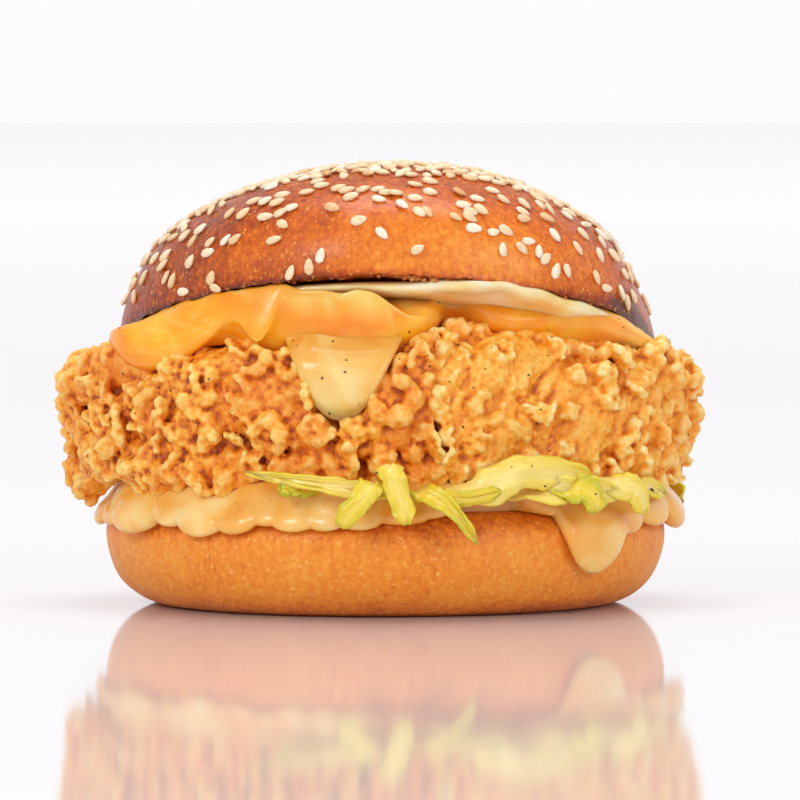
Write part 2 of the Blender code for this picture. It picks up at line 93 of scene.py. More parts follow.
def heapSkin(belt, angle):
    power = 2 / heap["square"]
    across = max(sin(belt), 0.0) ** power
    up = copysign(abs(cos(belt)) ** power, cos(belt))
    out = Vector((heap["length"] * across * cos(angle), heap["depth"] * across * sin(angle), halfHeight(up) * up))
    lean = across ** (heap["square"] - 1)
    rise = copysign(abs(up) ** (heap["square"] - 1), up)
    normal = Vector((lean * cos(angle) / heap["length"], lean * sin(angle) / heap["depth"], rise / halfHeight(up)))
    return heap["centre"] + out, normal.normalized()


def heapPoint(belt, angle, lift):
    skin, normal = heapSkin(belt, angle)
    point = skin + normal * lift
    point.z = min(point.z, seatAt(point.x, point.y) - heap["stack"] + lift)
    return point


def beltAt(height):
    share = max(-1.0, min(1.0, (height - heap["centre"].z) / halfHeight(height - heap["centre"].z)))
    return acos(copysign(abs(share) ** (heap["square"] / 2), share))


def heelPoint(reach, angle, lift):
    edge = heel["radius"] - heel["flatRadius"]
    if reach <= 1:
        radius, height, normal = heel["flatRadius"] * reach, heel["top"], (0.0, 1.0)
    else:
        turn = (2 - reach) * pi / 2
        wide = edge if turn >= 0 else heel["radius"] - heel["baseRadius"]
        tall = heel["top"] - heel["belt"] if turn >= 0 else heel["belt"]
        radius = heel["radius"] - wide + wide * cos(turn)
        height = heel["belt"] + tall * sin(turn)
        length = hypot(cos(turn) / wide, sin(turn) / tall)
        normal = (cos(turn) / wide / length, sin(turn) / tall / length)
    radius = radius * uneven(angle, 0.006, 0.7) + lift * normal[0]
    return Vector((radius * cos(angle), radius * sin(angle), height + lift * normal[1]))


def heelReach(height):
    tall = heel["top"] - heel["belt"] if height >= heel["belt"] else heel["belt"]
    return 2 - asin(max(-1.0, min(1.0, (height - heel["belt"]) / tall))) / (pi / 2)


def crownPoint(share, angle):
    radius = share * crown["radius"] * uneven(angle, 0.005, 1.9)
    x, y = crown["shift"] + radius * cos(angle), radius * sin(angle)
    full = crown["fullness"]
    return Vector((x, y, seatAt(x, y) + crown["rise"] * max(0.0, 1 - share ** full) ** (1 / full)))


def crownNormal(share, angle):
    step = 0.01
    along = crownPoint(share + step, angle) - crownPoint(max(share - step, 0.0), angle)
    across = crownPoint(share, angle + step) - crownPoint(share, angle - step)
    return along.cross(across).normalized()


# mesh helpers

def newPiece(name, bm, material, slotName):
    mesh = bpy.data.meshes.new(name)
    bm.to_mesh(mesh)
    bm.free()
    mesh.shade_smooth()
    piece = bpy.data.objects.new(name, mesh)
    bpy.context.scene.collection.objects.link(piece)
    if material:
        mesh.materials.append(material)
    if slotName:
        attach(piece, "root")
    return piece


def applyModifiers(piece):
    bpy.context.view_layer.update()
    graph = bpy.context.evaluated_depsgraph_get()
    mesh = bpy.data.meshes.new_from_object(piece.evaluated_get(graph))
    piece.modifiers.clear()
    old = piece.data
    piece.data = mesh
    bpy.data.meshes.remove(old)
    mesh.name = piece.name
    mesh.shade_smooth()


def keepLargest(bm):
    left = set(bm.verts)
    islands = []
    while left:
        stack = [left.pop()]
        island = set(stack)
        while stack:
            for edge in stack.pop().link_edges:
                for vert in edge.verts:
                    if vert in left:
                        left.remove(vert)
                        island.add(vert)
                        stack.append(vert)
        islands.append(island)
    islands.sort(key=len)
    bmesh.ops.delete(bm, geom=[vert for island in islands[:-1] for vert in island], context="VERTS")


def coordinates(mesh):
    values = np.zeros(len(mesh.vertices) * 3)
    mesh.vertices.foreach_get("co", values)
    return values.reshape(-1, 3)


def vertexNormals(mesh):
    values = np.zeros(len(mesh.vertices) * 3)
    mesh.vertices.foreach_get("normal", values)
    return values.reshape(-1, 3)


def storeValues(mesh, name, values):
    mesh.attributes.new(name, "FLOAT", "POINT").data.foreach_set("value", values)


def evenedOut(mesh, start, rounds):
    # each point moved towards its neighbours, many times over
    ends = np.zeros(len(mesh.edges) * 2, dtype=np.int64)
    mesh.edges.foreach_get("vertices", ends)
    a, b = ends.reshape(-1, 2).T
    count = np.bincount(a, minlength=len(start)) + np.bincount(b, minlength=len(start))
    values = start.copy()
    for _ in range(rounds):
        total = np.zeros_like(values)
        for axis in range(values.shape[1]):
            total[:, axis] += np.bincount(a, weights=values[b, axis], minlength=len(start))
            total[:, axis] += np.bincount(b, weights=values[a, axis], minlength=len(start))
        values = 0.5 * values + 0.5 * total / np.maximum(count, 1)[:, None]
    return values


def storeRelief(mesh, name, rounds, reach):
    # how far each point stands out of its surroundings, -1 to 1; the crust finish paints shade into the low points
    # and highlight onto the high points from it
    co = coordinates(mesh)
    apart = co - evenedOut(mesh, co, rounds)
    relief = (apart * vertexNormals(mesh)).sum(1) / reach
    storeValues(mesh, name, np.clip(relief, -1, 1).astype(np.float32))


def polar(vert):
    # from the pole, 0, to the equator, 1, and the angle round
    t = atan2(hypot(vert.co.x, vert.co.y), abs(vert.co.z)) / (pi / 2)
    return t, atan2(vert.co.y, vert.co.x) if t > 1e-4 else 0.0


def cushion(name, place, segments, rings, frontFocus, material, slotName):
    # a closed layer: place() turns share of the radius, angle and level, -1 below to 1 above, into a point
    bm = bmesh.new()
    bmesh.ops.create_uvsphere(bm, u_segments=segments, v_segments=2 * rings, radius=1.0)
    for vert in bm.verts:
        t, angle = polar(vert)
        share = t ** 0.7 if t > 1e-4 else 0.0
        level = copysign(sqrt(max(0.0, 1 - share ** 9)), vert.co.z)
        vert.co = place(min(share, 1.0), angle - frontFocus * cos(angle), level)
    bmesh.ops.recalc_face_normals(bm, faces=bm.faces)
    return newPiece(name, bm, material, slotName)


# material helpers

def shade(red, green, blue):
    return tuple(c / 12.92 if c <= 0.04045 else ((c + 0.055) / 1.055) ** 2.4 for c in (red / 255, green / 255,
        blue / 255)) + (1.0,)


def newMaterial(name, settings):
    material = bpy.data.materials.new(name)
    material.use_nodes = True
    shader = material.node_tree.nodes["Principled BSDF"]
    for socket, value in settings.items():
        shader.inputs[socket].default_value = value
    return material, material.node_tree, shader


def node(tree, kind, settings=None, **inputs):
    made = tree.nodes.new(kind)
    for key, value in (settings or {}).items():
        setattr(made, key, value)
    for key, value in inputs.items():
        socket = made.inputs[int(key[1:])] if key[0] == "i" and key[1:].isdigit() else made.inputs[key]
        if isinstance(value, bpy.types.NodeSocket):
            tree.links.new(value, socket)
        else:
            socket.default_value = value
    return made


def objectSpace(tree, scale=(1, 1, 1)):
    place = node(tree, "ShaderNodeTexCoord")
    mapping = node(tree, "ShaderNodeMapping", Vector=place.outputs["Object"], Scale=scale)
    return mapping.outputs[0]


def noiseValue(tree, vector, scale, detail=4.0, roughness=0.55, distortion=0.0):
    made = node(tree, "ShaderNodeTexNoise", Vector=vector, Scale=scale, Detail=detail, Roughness=roughness,
        Distortion=distortion)
    return made.outputs["Fac"]


def attributeValue(tree, name):
    return node(tree, "ShaderNodeAttribute", {"attribute_name": name}).outputs["Fac"]


def ramp(tree, value, stops):
    made = node(tree, "ShaderNodeValToRGB", i0=value)
    elements = made.color_ramp.elements
    while len(elements) < len(stops):
        elements.new(0.5)
    for element, (position, colour) in zip(elements, stops):
        element.position = position
        element.color = colour if len(colour) == 4 else (*colour, 1.0)
    return made.outputs["Color"]


def rampValue(tree, value, low, high, outLow=0.0, outHigh=1.0):
    made = node(tree, "ShaderNodeMapRange", {"clamp": True})
    tree.links.new(value, made.inputs["Value"])
    for key, number in (("From Min", low), ("From Max", high), ("To Min", outLow), ("To Max", outHigh)):
        made.inputs[key].default_value = number
    return made.outputs["Result"]


def mixColour(tree, share, first, second):
    made = node(tree, "ShaderNodeMix", {"data_type": "RGBA"})
    for index, value in ((0, share), (6, first), (7, second)):
        if isinstance(value, bpy.types.NodeSocket):
            tree.links.new(value, made.inputs[index])
        else:
            made.inputs[index].default_value = value
    return made.outputs[2]


def maths(tree, operation, first, second=0.0):
    return node(tree, "ShaderNodeMath", {"operation": operation}, i0=first, i1=second).outputs[0]


def bumpFrom(tree, shader, height, strength, distance, below=None):
    made = node(tree, "ShaderNodeBump", Height=height, Strength=strength, Distance=distance)
    if below:
        tree.links.new(below, made.inputs["Normal"])
    tree.links.new(made.outputs[0], shader.inputs["Normal"])
    return made.outputs[0]


# finishes

def friedCrust(name, settings):
    material, tree, shader = newMaterial(name, {
        "Roughness": 0.46, "Specular IOR Level": 0.42, "Subsurface Weight": settings["glow"],
        "Subsurface Radius": (0.8, 0.45, 0.15), "Subsurface Scale": 0.0015, "Coat Weight": 0.06,
        "Coat Roughness": 0.25})
    space = objectSpace(tree)
    fine = attributeValue(tree, "fineRelief")
    broad = attributeValue(tree, "broadRelief")
    # the relief sets the colour: painted shade in the recesses and painted highlight on the raised lumps, with random
    # mottling mixed in
    height = maths(tree, "ADD", maths(tree, "MULTIPLY", fine, 0.55), maths(tree, "MULTIPLY", broad, 0.6))
    mottled = maths(tree, "MULTIPLY", maths(tree, "SUBTRACT", noiseValue(tree, space, 330, 4), 0.5), 0.55)
    sugary = maths(tree, "MULTIPLY", maths(tree, "SUBTRACT", noiseValue(tree, space, 1300, 3, 0.6), 0.5), 0.55)
    height = maths(tree, "ADD", height, sugary)
    height = maths(tree, "ADD", height, mottled)
    height = rampValue(tree, height, -0.75, 0.75)
    colour = ramp(tree, height, settings["stops"])
    patches = rampValue(tree, noiseValue(tree, space, 95, 3), 0.42, 0.66)
    colour = mixColour(tree, maths(tree, "MULTIPLY", patches, 0.5), colour, settings["patch"])
    tree.links.new(colour, shader.inputs["Base Color"])
    grain = noiseValue(tree, space, 1500, 5, 0.6)
    lumps = noiseValue(tree, space, 620, 3, 0.5)
    first = bumpFrom(tree, shader, lumps, 0.75, 0.0007)
    bumpFrom(tree, shader, grain, 0.6, 0.0003, first)
    tree.links.new(rampValue(tree, lumps, 0.3, 0.7, 0.34, 0.55), shader.inputs["Roughness"])
    return material


# crust colours run from painted shade in the deepest recesses to painted highlight on the highest lumps, with a
# random patch tone
leftCrust = friedCrust("curly_crust", {"glow": 0.10, "patch": shade(238, 126, 26), "stops": [
    (0.0, shade(104, 32, 2)), (0.22, shade(184, 80, 8)), (0.42, shade(243, 144, 32)), (0.62, shade(254, 182, 62)),
    (1.0, shade(255, 222, 132))]})
rightCrust = friedCrust("grainy_crust", {"glow": 0.14, "patch": shade(255, 168, 48), "stops": [
    (0.0, shade(150, 58, 4)), (0.22, shade(218, 114, 16)), (0.42, shade(250, 162, 44)), (0.62, shade(255, 194, 80)),
    (1.0, shade(255, 232, 160))]})


def bakedBun(name, settings):
    material, tree, shader = newMaterial(name, {
        "Roughness": settings["roughness"], "Specular IOR Level": 0.32,
        "Coat Weight": settings["glaze"], "Coat Roughness": 0.2,
        "Subsurface Weight": 0.12, "Subsurface Radius": (0.8, 0.3, 0.1), "Subsurface Scale": 0.002})
    space = objectSpace(tree)
    # the darkness comes from the mesh: on the crown it holds painted shade towards the sides and a painted sheen
    # besides the bun's own tone
    darkness = attributeValue(tree, "crustDarkness")
    cloudy = maths(tree, "MULTIPLY", maths(tree, "SUBTRACT", noiseValue(tree, space, 70, 5, 0.6), 0.5), 0.55)
    speckled = maths(tree, "MULTIPLY", maths(tree, "SUBTRACT", noiseValue(tree, space, 900, 4, 0.65), 0.5),
        settings["speckle"])
    streaks = noiseValue(tree, objectSpace(tree, (1, 1, 0.22)), 620, 4, 0.6)
    streaky = maths(tree, "MULTIPLY", maths(tree, "SUBTRACT", streaks, 0.5), 0.5)
    total = maths(tree, "ADD", maths(tree, "ADD", darkness, cloudy), maths(tree, "ADD", speckled, streaky))
    colour = ramp(tree, total, settings["stops"])
    flecks = rampValue(tree, noiseValue(tree, space, 1300, 2, 0.5), 0.61, 0.72)
    colour = mixColour(tree, maths(tree, "MULTIPLY", flecks, 0.6), colour, settings["fleck"])
    tree.links.new(colour, shader.inputs["Base Color"])
    wrinkles = noiseValue(tree, space, 260, 6, 0.6, 0.4)
    pores = noiseValue(tree, space, 1700, 3, 0.6)
    first = bumpFrom(tree, shader, wrinkles, 0.35, 0.0006)
    bumpFrom(tree, shader, pores, 0.18, 0.0002, first)
    return material


crownCrust = bakedBun("glazed_crown", {"roughness": 0.38, "glaze": 0.12, "speckle": 0.85,
    "fleck": shade(255, 186, 84), "stops": [
    (0.0, shade(246, 158, 54)), (0.25, shade(234, 128, 32)), (0.5, shade(208, 96, 16)), (0.75, shade(160, 62, 10)),
    (1.0, shade(96, 34, 8))]})
heelCrust = bakedBun("heel_crust", {"roughness": 0.5, "glaze": 0.06, "speckle": 0.9, "fleck": shade(255, 206, 120),
    "stops": [
    (0.0, shade(253, 186, 92)), (0.3, shade(247, 158, 54)), (0.55, shade(238, 136, 36)), (0.8, shade(206, 94, 20)),
    (1.0, shade(150, 58, 12))]})


def seedCoat():
    material, tree, shader = newMaterial("sesame_coat", {
        "Roughness": 0.42, "Subsurface Weight": 0.2, "Subsurface Radius": (0.9, 0.6, 0.3), "Subsurface Scale": 0.001,
        "Coat Weight": 0.15})
    tint = attributeValue(tree, "tint")
    base = ramp(tree, tint, [(0.0, shade(222, 172, 116)), (0.3, shade(238, 204, 156)), (0.7, shade(247, 224, 188)),
        (1.0, shade(252, 238, 216))])
    space = objectSpace(tree)
    cloud = noiseValue(tree, space, 800, 3)
    tree.links.new(mixColour(tree, rampValue(tree, cloud, 0.45, 0.75, 0.0, 0.4), base, shade(222, 168, 104)),
        shader.inputs["Base Color"])
    bumpFrom(tree, shader, noiseValue(tree, space, 2200, 3), 0.25, 0.0002)
    return material


def glossyLayer(name, settings):
    material, tree, shader = newMaterial(name, {
        "Roughness": settings["roughness"], "Specular IOR Level": 0.5, "Subsurface Weight": settings["glow"],
        "Subsurface Radius": settings["bleed"], "Subsurface Scale": 0.003,
        "Coat Weight": settings["coat"], "Coat Roughness": 0.08})
    space = objectSpace(tree)
    cloudy = noiseValue(tree, space, settings["cloudScale"], 3, 0.5, 0.6)
    colour = ramp(tree, rampValue(tree, cloudy, 0.3, 0.7), settings["stops"])
    if "second" in settings:
        colour = mixColour(tree, attributeValue(tree, settings["mask"]), colour, settings["second"])
    tree.links.new(colour, shader.inputs["Base Color"])
    bumpFrom(tree, shader, noiseValue(tree, space, settings["bumpScale"], 2, 0.4), 0.3, 0.0005)
    return material


cheeseGloss = glossyLayer("melted_cheese",
    {"roughness": 0.30, "coat": 0.16, "glow": 0.40, "bleed": (1.0, 0.45, 0.06), "cloudScale": 60, "bumpScale": 240,
    "mask": "creamy", "second": shade(254, 208, 108), "stops": [
    (0.0, shade(250, 134, 4)), (0.5, shade(255, 162, 16)), (1.0, shade(255, 190, 44))]})
creamGloss = glossyLayer("cream_sauce", {"roughness": 0.26, "coat": 0.28, "glow": 0.40, "bleed": (1.0, 0.6, 0.25),
    "cloudScale": 80, "bumpScale": 260, "stops": [
    (0.0, shade(238, 158, 56)), (0.5, shade(247, 186, 86)), (1.0, shade(253, 216, 140))]})
# a paler copy of the cream sauce for the band under the crown: painted light
paintedLitCream = glossyLayer("cream_painted_lit", {"roughness": 0.24, "coat": 0.40, "glow": 0.40, "bleed": (1.0, 0.7, 0.4),
    "cloudScale": 90, "bumpScale": 260, "stops": [
    (0.0, shade(250, 200, 112)), (0.5, shade(254, 224, 158)), (1.0, shade(255, 240, 204))]})


def lettuceLeaf():
    material, tree, shader = newMaterial("lettuce_leaf", {
        "Roughness": 0.34, "Subsurface Weight": 0.45, "Subsurface Radius": (0.7, 0.9, 0.2),
        "Subsurface Scale": 0.002, "Coat Weight": 0.2, "Coat Roughness": 0.15})
    space = objectSpace(tree)
    green = attributeValue(tree, "green")
    mixed = maths(tree, "ADD", green, maths(tree, "MULTIPLY",
        maths(tree, "SUBTRACT", noiseValue(tree, space, 160, 3), 0.5), 0.7))
    colour = ramp(tree, mixed, [(0.0, shade(250, 226, 130)), (0.3, shade(244, 214, 84)), (0.6, shade(232, 204, 48)),
        (1.0, shade(186, 186, 26))])
    tree.links.new(colour, shader.inputs["Base Color"])
    bumpFrom(tree, shader, noiseValue(tree, space, 420, 3, 0.5, 0.5), 0.35, 0.0005)
    return material


def toasted():
    material, tree, shader = newMaterial("toasted_crumb",
        {"Roughness": 0.7, "Subsurface Weight": 0.1, "Subsurface Radius": (0.8, 0.3, 0.1), "Subsurface Scale": 0.001})
    space = objectSpace(tree)
    colour = ramp(tree, noiseValue(tree, space, 420, 4, 0.6),
        [(0.25, shade(104, 38, 8)), (0.5, shade(178, 88, 28)), (0.72, shade(232, 150, 70))])
    tree.links.new(colour, shader.inputs["Base Color"])
    bumpFrom(tree, shader, noiseValue(tree, space, 1800, 4, 0.6), 0.5, 0.0003)
    return material


toastedCrumb = toasted()
sesameCoat = seedCoat()
leafFinish = lettuceLeaf()
print("finishes ready")

# the two fillets

leftFillet = {"side": -1, "middle": -0.0200, "seed": 31, "voxel": 0.00045, "flow": 20, "stretch": 1.25,
    "grain": 0.00021,
    "clump": (0.0105, 0.0046, 0.0034), "nodule": (0.0034, 0.0015, 0.0011), "crumb": (0.0015, 0.00045),
    "curls": 110, "petals": 170, "clusters": 210, "big": 1.22, "stand": 0.0011,
    "hollows": [
        (275, 456, 0.0040, 0.0036), (236, 452, 0.0030, 0.0030), (300, 402, 0.0026, 0.0018),
        (222, 340, 0.0028, 0.0022), (170, 488, 0.0020, 0.0030), (262, 487, 0.0022, 0.0026),
        (96, 470, 0.0034, 0.0026), (150, 470, 0.0024, 0.0020)],
    "placed": [
        ("curl", 273, 434, 0.0042), ("curl", 321, 431, 0.0033), ("curl", 238, 388, 0.0030),
        ("curl", 256, 364, 0.0034), ("curl", 393, 398, 0.0054), ("curl", 95, 364, 0.0032),
        ("curl", 170, 478, 0.0036), ("curl", 137, 470, 0.0044), ("curl", 356, 431, 0.0028),
        ("cluster", 193, 402, 0.0042), ("cluster", 247, 408, 0.0040), ("cluster", 150, 397, 0.0044),
        ("cluster", 74, 402, 0.0044), ("cluster", 205, 367, 0.0026), ("cluster", 188, 372, 0.0024),
        ("cluster", 226, 480, 0.0044), ("cluster", 110, 445, 0.0040), ("cluster", 280, 466, 0.0036),
        ("cluster", 310, 464, 0.0034), ("cluster", 334, 464, 0.0034), ("cluster", 176, 432, 0.0034),
        ("cluster", 212, 434, 0.0034), ("petal", 205, 480, 0.0036), ("petal", 80, 470, 0.0048),
        ("petal", 120, 425, 0.0044), ("petal", 100, 485, 0.0042), ("petal", 168, 412, 0.0036),
        ("petal", 318, 395, 0.0034), ("cluster", 420, 430, 0.0030), ("cluster", 436, 470, 0.0030),
        ("petal", 430, 445, 0.0034), ("cluster", 425, 345, 0.0030)]}
fillets = {"bodyVoxel": 0.00062, "triangles": 196000, "ceilingRoom": 0.0004}
rightFillet = {"side": 1, "middle": 0.0400, "seed": 47, "voxel": 0.00045, "flow": 56, "stretch": 2.1,
    "grain": 0.00021,
    "clump": (0.0090, 0.0022, 0.0030), "nodule": (0.0036, 0.0014, 0.0012), "crumb": (0.0017, 0.00050),
    "curls": 20, "petals": 80, "clusters": 130, "big": 1.05, "stand": 0.0005,
    "hollows": [
        (452, 488, 0.0026, 0.0030), (434, 365, 0.0018, 0.0020), (500, 395, 0.0016, 0.0012),
        (640, 430, 0.0022, 0.0014), (538, 336, 0.0016, 0.0016), (515, 455, 0.0020, 0.0012)],
    "placed": [
        ("curl", 660, 358, 0.0036), ("cluster", 648, 352, 0.0030), ("cluster", 674, 380, 0.0030),
        ("petal", 672, 490, 0.0050), ("cluster", 655, 480, 0.0036), ("cluster", 440, 395, 0.0026),
        ("cluster", 446, 435, 0.0028), ("petal", 452, 460, 0.0030), ("cluster", 443, 350, 0.0030)]}


def seamAt(y, z):
    return seam["x"] + seam["slant"] * (y + heap["depth"]) + seam["lean"] * (heap["centre"].z - z)


def pastSeam(point, side):
    return side * (point.x - seamAt(point.y, point.z)) + seam["overlap"]


def outsideFillet(point, side):
    # below 1 inside the plain body of a fillet
    plan, tall = heapShares(point)
    inward = max(0.0, 1 - pastSeam(point, side) / seam["rounding"])
    return (plan ** heap["square"] + tall ** heap["square"] + inward ** heap["square"]) ** (1 / heap["square"])


def filletSkin(middle, direction, side):
    near, far = 0.0, 0.12
    for _ in range(24):
        halfway = (near + far) / 2
        if outsideFillet(middle + direction * halfway, side) < 1:
            near = halfway
        else:
            far = halfway
    skin = middle + direction * near
    ceiling = seatAt(skin.x, skin.y) - heap["stack"] - fillets["ceilingRoom"]
    return Vector((skin.x, skin.y, max(heap["floor"], min(skin.z, ceiling))))


def domes(point, size):
    # rounded lumps with sharp creases between them, 0 to 1
    return sqrt(max(0.0, 1 - (noise.voronoi(point / size)[0][0] / 0.82) ** 2))


def crustHeight(point, settings):
    # the lumps of the batter, measured along the side of the fillet so that they can run in a direction
    around = atan2(point.y, point.x) * 0.058
    flow = radians(settings["flow"])
    long = around * cos(flow) + point.z * sin(flow)
    wide = -around * sin(flow) + point.z * cos(flow)
    at = Vector((long / settings["stretch"], wide, hypot(point.x, point.y)))
    size, height, warp = settings["clump"]
    total = height * (domes(at + noise.noise_vector(at * 130) * warp, size) - 0.62)
    size, height, warp = settings["nodule"]
    total += height * (domes(at + noise.noise_vector(at * 330) * warp, size) - 0.62)
    size, height = settings["crumb"]
    return total + height * (domes(at, size) - 0.6)


def photoAim(px, py):
    # the camera's place, and the point in its focal plane that a pixel of the photograph shows
    tilt, middle, pixel = radians(studio["elevation"]), studio["middlePixel"], studio["pixel"]
    focus = Vector(studio["focus"])
    start = focus + Vector((0, -cos(tilt), sin(tilt))) * studio["distance"]
    up = Vector((0, sin(tilt), cos(tilt)))
    return start, focus + Vector(((px - middle) * pixel, 0, 0)) + up * (middle - py) * pixel


def photoRay(px, py):
    start, aim = photoAim(px, py)
    return start, (aim - start).normalized()


def photoPoint(px, py):
    # where the camera's line through a pixel of the photograph meets the side of the heap
    start, aim = photoAim(px, py)
    ray = photoRay(px, py)[1]
    for step in range(400):
        at = start + ray * (studio["distance"] - 0.07 + step * 0.00025)
        plan, tall = heapShares(at)
        if plan ** heap["square"] + tall ** heap["square"] < 1:
            break
    else:
        at = Vector((aim.x, 0, aim.z))
    angle = atan2((at.y - heap["centre"].y) / heap["depth"], (at.x - heap["centre"].x) / heap["length"])
    return heapSkin(beltAt(at.z), angle), angle


def coverShare(skin, angle):
    # 1 where cheese or sauce lies on the crust, 0 in the open
    cheeseLow = edgeHeight(cheese["edge"], cheese["bumps"], angle)
    sauceLow = edgeHeight(middleSauce["edge"], middleSauce["bumps"], angle, middleSauce["power"])
    return smooth(-0.0010, 0.0016, skin.z - min(cheeseLow, sauceLow))


def crustSpots(settings, count, draw, low=0.0244, high=0.0590):
    found = 0
    while found < count:
        height = draw.uniform(low, high)
        angle = draw.uniform(-pi, pi)
        skin, normal = heapSkin(beltAt(height), angle)
        if pastSeam(skin, settings["side"]) < 0.0008:
            continue
        found += 1
        covered = coverShare(skin, angle)
        skin.z = min(skin.z, seatAt(skin.x, skin.y) - heap["stack"] - 0.0005)
        yield skin, normal, covered


def posed(normal, tilt, lean, spin):
    turn = normal.to_track_quat("Z", "Y").to_matrix()
    return turn @ Matrix.Rotation(lean, 3, "Z") @ Matrix.Rotation(tilt, 3, "X") @ Matrix.Rotation(spin, 3, "Z")


def bmeshData(bm, name):
    mesh = bpy.data.meshes.new(name)
    bm.to_mesh(mesh)
    bm.free()
    return mesh


def addLump(bm, draw, at, size, detail=2, rough=0.28):
    verts = bmesh.ops.create_icosphere(bm, subdivisions=detail, radius=1.0)["verts"]
    shift = Vector((draw.uniform(0, 9), draw.uniform(0, 9), draw.uniform(0, 9)))
    size = Vector(size)
    for vert in verts:
        vert.co = at + vert.co * size * (1 + rough * noise.noise(vert.co * 1.5 + shift))


def curlMesh(draw):
    # an open ring of lumps round a shallow pit, like the curled rim of a rosette
    bm = bmesh.new()
    sweep, spiral, phase = draw.uniform(3.8, 5.9), draw.uniform(-0.25, 0.45), draw.uniform(0, tau)
    steps = int(sweep * 3.6)
    for index in range(steps + 1):
        along = index / steps
        turn = along * sweep
        reach = 0.74 * (1 + spiral * (along - 0.5)) * (1 + 0.10 * sin(3 * turn + phase))
        fat = 0.30 * (1 + 0.28 * sin(5.3 * turn + phase)) * (0.72 + 0.5 * sin(along * pi))
        rise = 0.34 + 0.14 * sin(2.2 * turn + phase)
        addLump(bm, draw, Vector((reach * cos(turn), reach * sin(turn), rise)), (fat, fat, fat * 1.15))
        addLump(bm, draw, Vector((reach * 0.9 * cos(turn), reach * 0.9 * sin(turn), rise - 0.34)), (fat * 0.95,) * 3,
            1)
    addLump(bm, draw, Vector((0.05, 0, -0.12)), (0.66, 0.62, 0.30), 3)
    return bmeshData(bm, "curl")


def petalMesh(draw):
    # a thick flap of crust with a lumpy outer edge, rooted at its inner side
    bm = bmesh.new()
    addLump(bm, draw, Vector((0, 0, 0.30)), (0.78, 0.27, 0.74), 3, 0.40)
    for index in range(6):
        turn = -1.15 + 2.3 * index / 5 + draw.gauss(0, 0.12)
        fat = draw.uniform(0.20, 0.34)
        addLump(bm, draw, Vector((0.78 * sin(turn), draw.gauss(0.05, 0.08), 0.30 + 0.72 * cos(turn))),
            (fat, fat * 0.85, fat))
    return bmeshData(bm, "petal")


def clusterMesh(draw):
    # a popcorn-like knot of rounded lumps
    bm = bmesh.new()
    addLump(bm, draw, Vector((0, 0, 0)), (0.66, 0.62, 0.52), 3)
    for index in range(9):
        size = draw.uniform(0.22, 0.44)
        turn, lean = draw.uniform(0, tau), draw.uniform(0.1, 1.35)
        at = Vector((sin(lean) * cos(turn), sin(lean) * sin(turn), cos(lean) * 0.8)) * 0.58
        addLump(bm, draw, at, (size, size * draw.uniform(0.7, 1.0), size))
    return bmeshData(bm, "cluster")


def addCopy(bm, template, turn, at, scale):
    start = len(bm.verts)
    bm.from_mesh(template)
    bm.verts.ensure_lookup_table()
    matrix = turn @ Matrix.Diagonal(scale if isinstance(scale, tuple) else (scale, scale, scale))
    for index in range(start, len(bm.verts)):
        vert = bm.verts[index]
        vert.co = at + matrix @ vert.co


def addCrag(solids, kinds, kind, draw, at, normal, size, stand):
    spin = draw.uniform(0, tau)
    tilt = {"curl": draw.gauss(0, 0.40), "petal": draw.uniform(0.1, 1.15), "cluster": draw.gauss(0, 0.4)}[kind]
    addCopy(solids, draw.choice(kinds[kind]), posed(normal, tilt, spin, draw.uniform(-0.6, 0.6)),
        at + normal * stand, size)


def filletBody(name, settings):
    middle = heap["centre"].copy()
    middle.x = settings["middle"]
    bm = bmesh.new()
    bmesh.ops.create_uvsphere(bm, u_segments=150, v_segments=90, radius=1.0)
    for vert in bm.verts:
        vert.co = filletSkin(middle, vert.co.normalized(), settings["side"])
    body = newPiece(name, bm, None, None)
    fine = body.modifiers.new("Fine", "REMESH")
    fine.mode = "VOXEL"
    fine.voxel_size = fillets["bodyVoxel"]
    applyModifiers(body)
    hollows = [(photoPoint(px, py)[0][0], size, depth) for px, py, size, depth in settings["hollows"]]
    places = []
    for co, across in zip(coordinates(body.data), vertexNormals(body.data)):
        point, normal = Vector(co), Vector(across)
        ceiling = seatAt(point.x, point.y) - heap["stack"]
        open = smooth(0.72, 0.88, hypot((point.x - heap["centre"].x) / heap["length"], point.y / heap["depth"]))
        lift = crustHeight(point, settings) * open
        for centre, size, depth in hollows:
            lift -= depth * exp(-((point - centre).length / size) ** 2) * open
        point += normal * (lift - 0.0006 * open)
        point.z = min(point.z, ceiling - 0.0003 + 0.0006 * open)
        places.append(point)
    body.data.vertices.foreach_set("co", [value for point in places for value in point])
    body.data.update()
    return body


def addGrain(mesh, height):
    co = coordinates(mesh)
    lift = [noise.noise(Vector(at) * 900) + 0.6 * noise.noise(Vector(at) * 1900) for at in co]
    mesh.vertices.foreach_set("co", (co + vertexNormals(mesh) * (np.array(lift) * height)[:, None]).ravel())
    mesh.update()


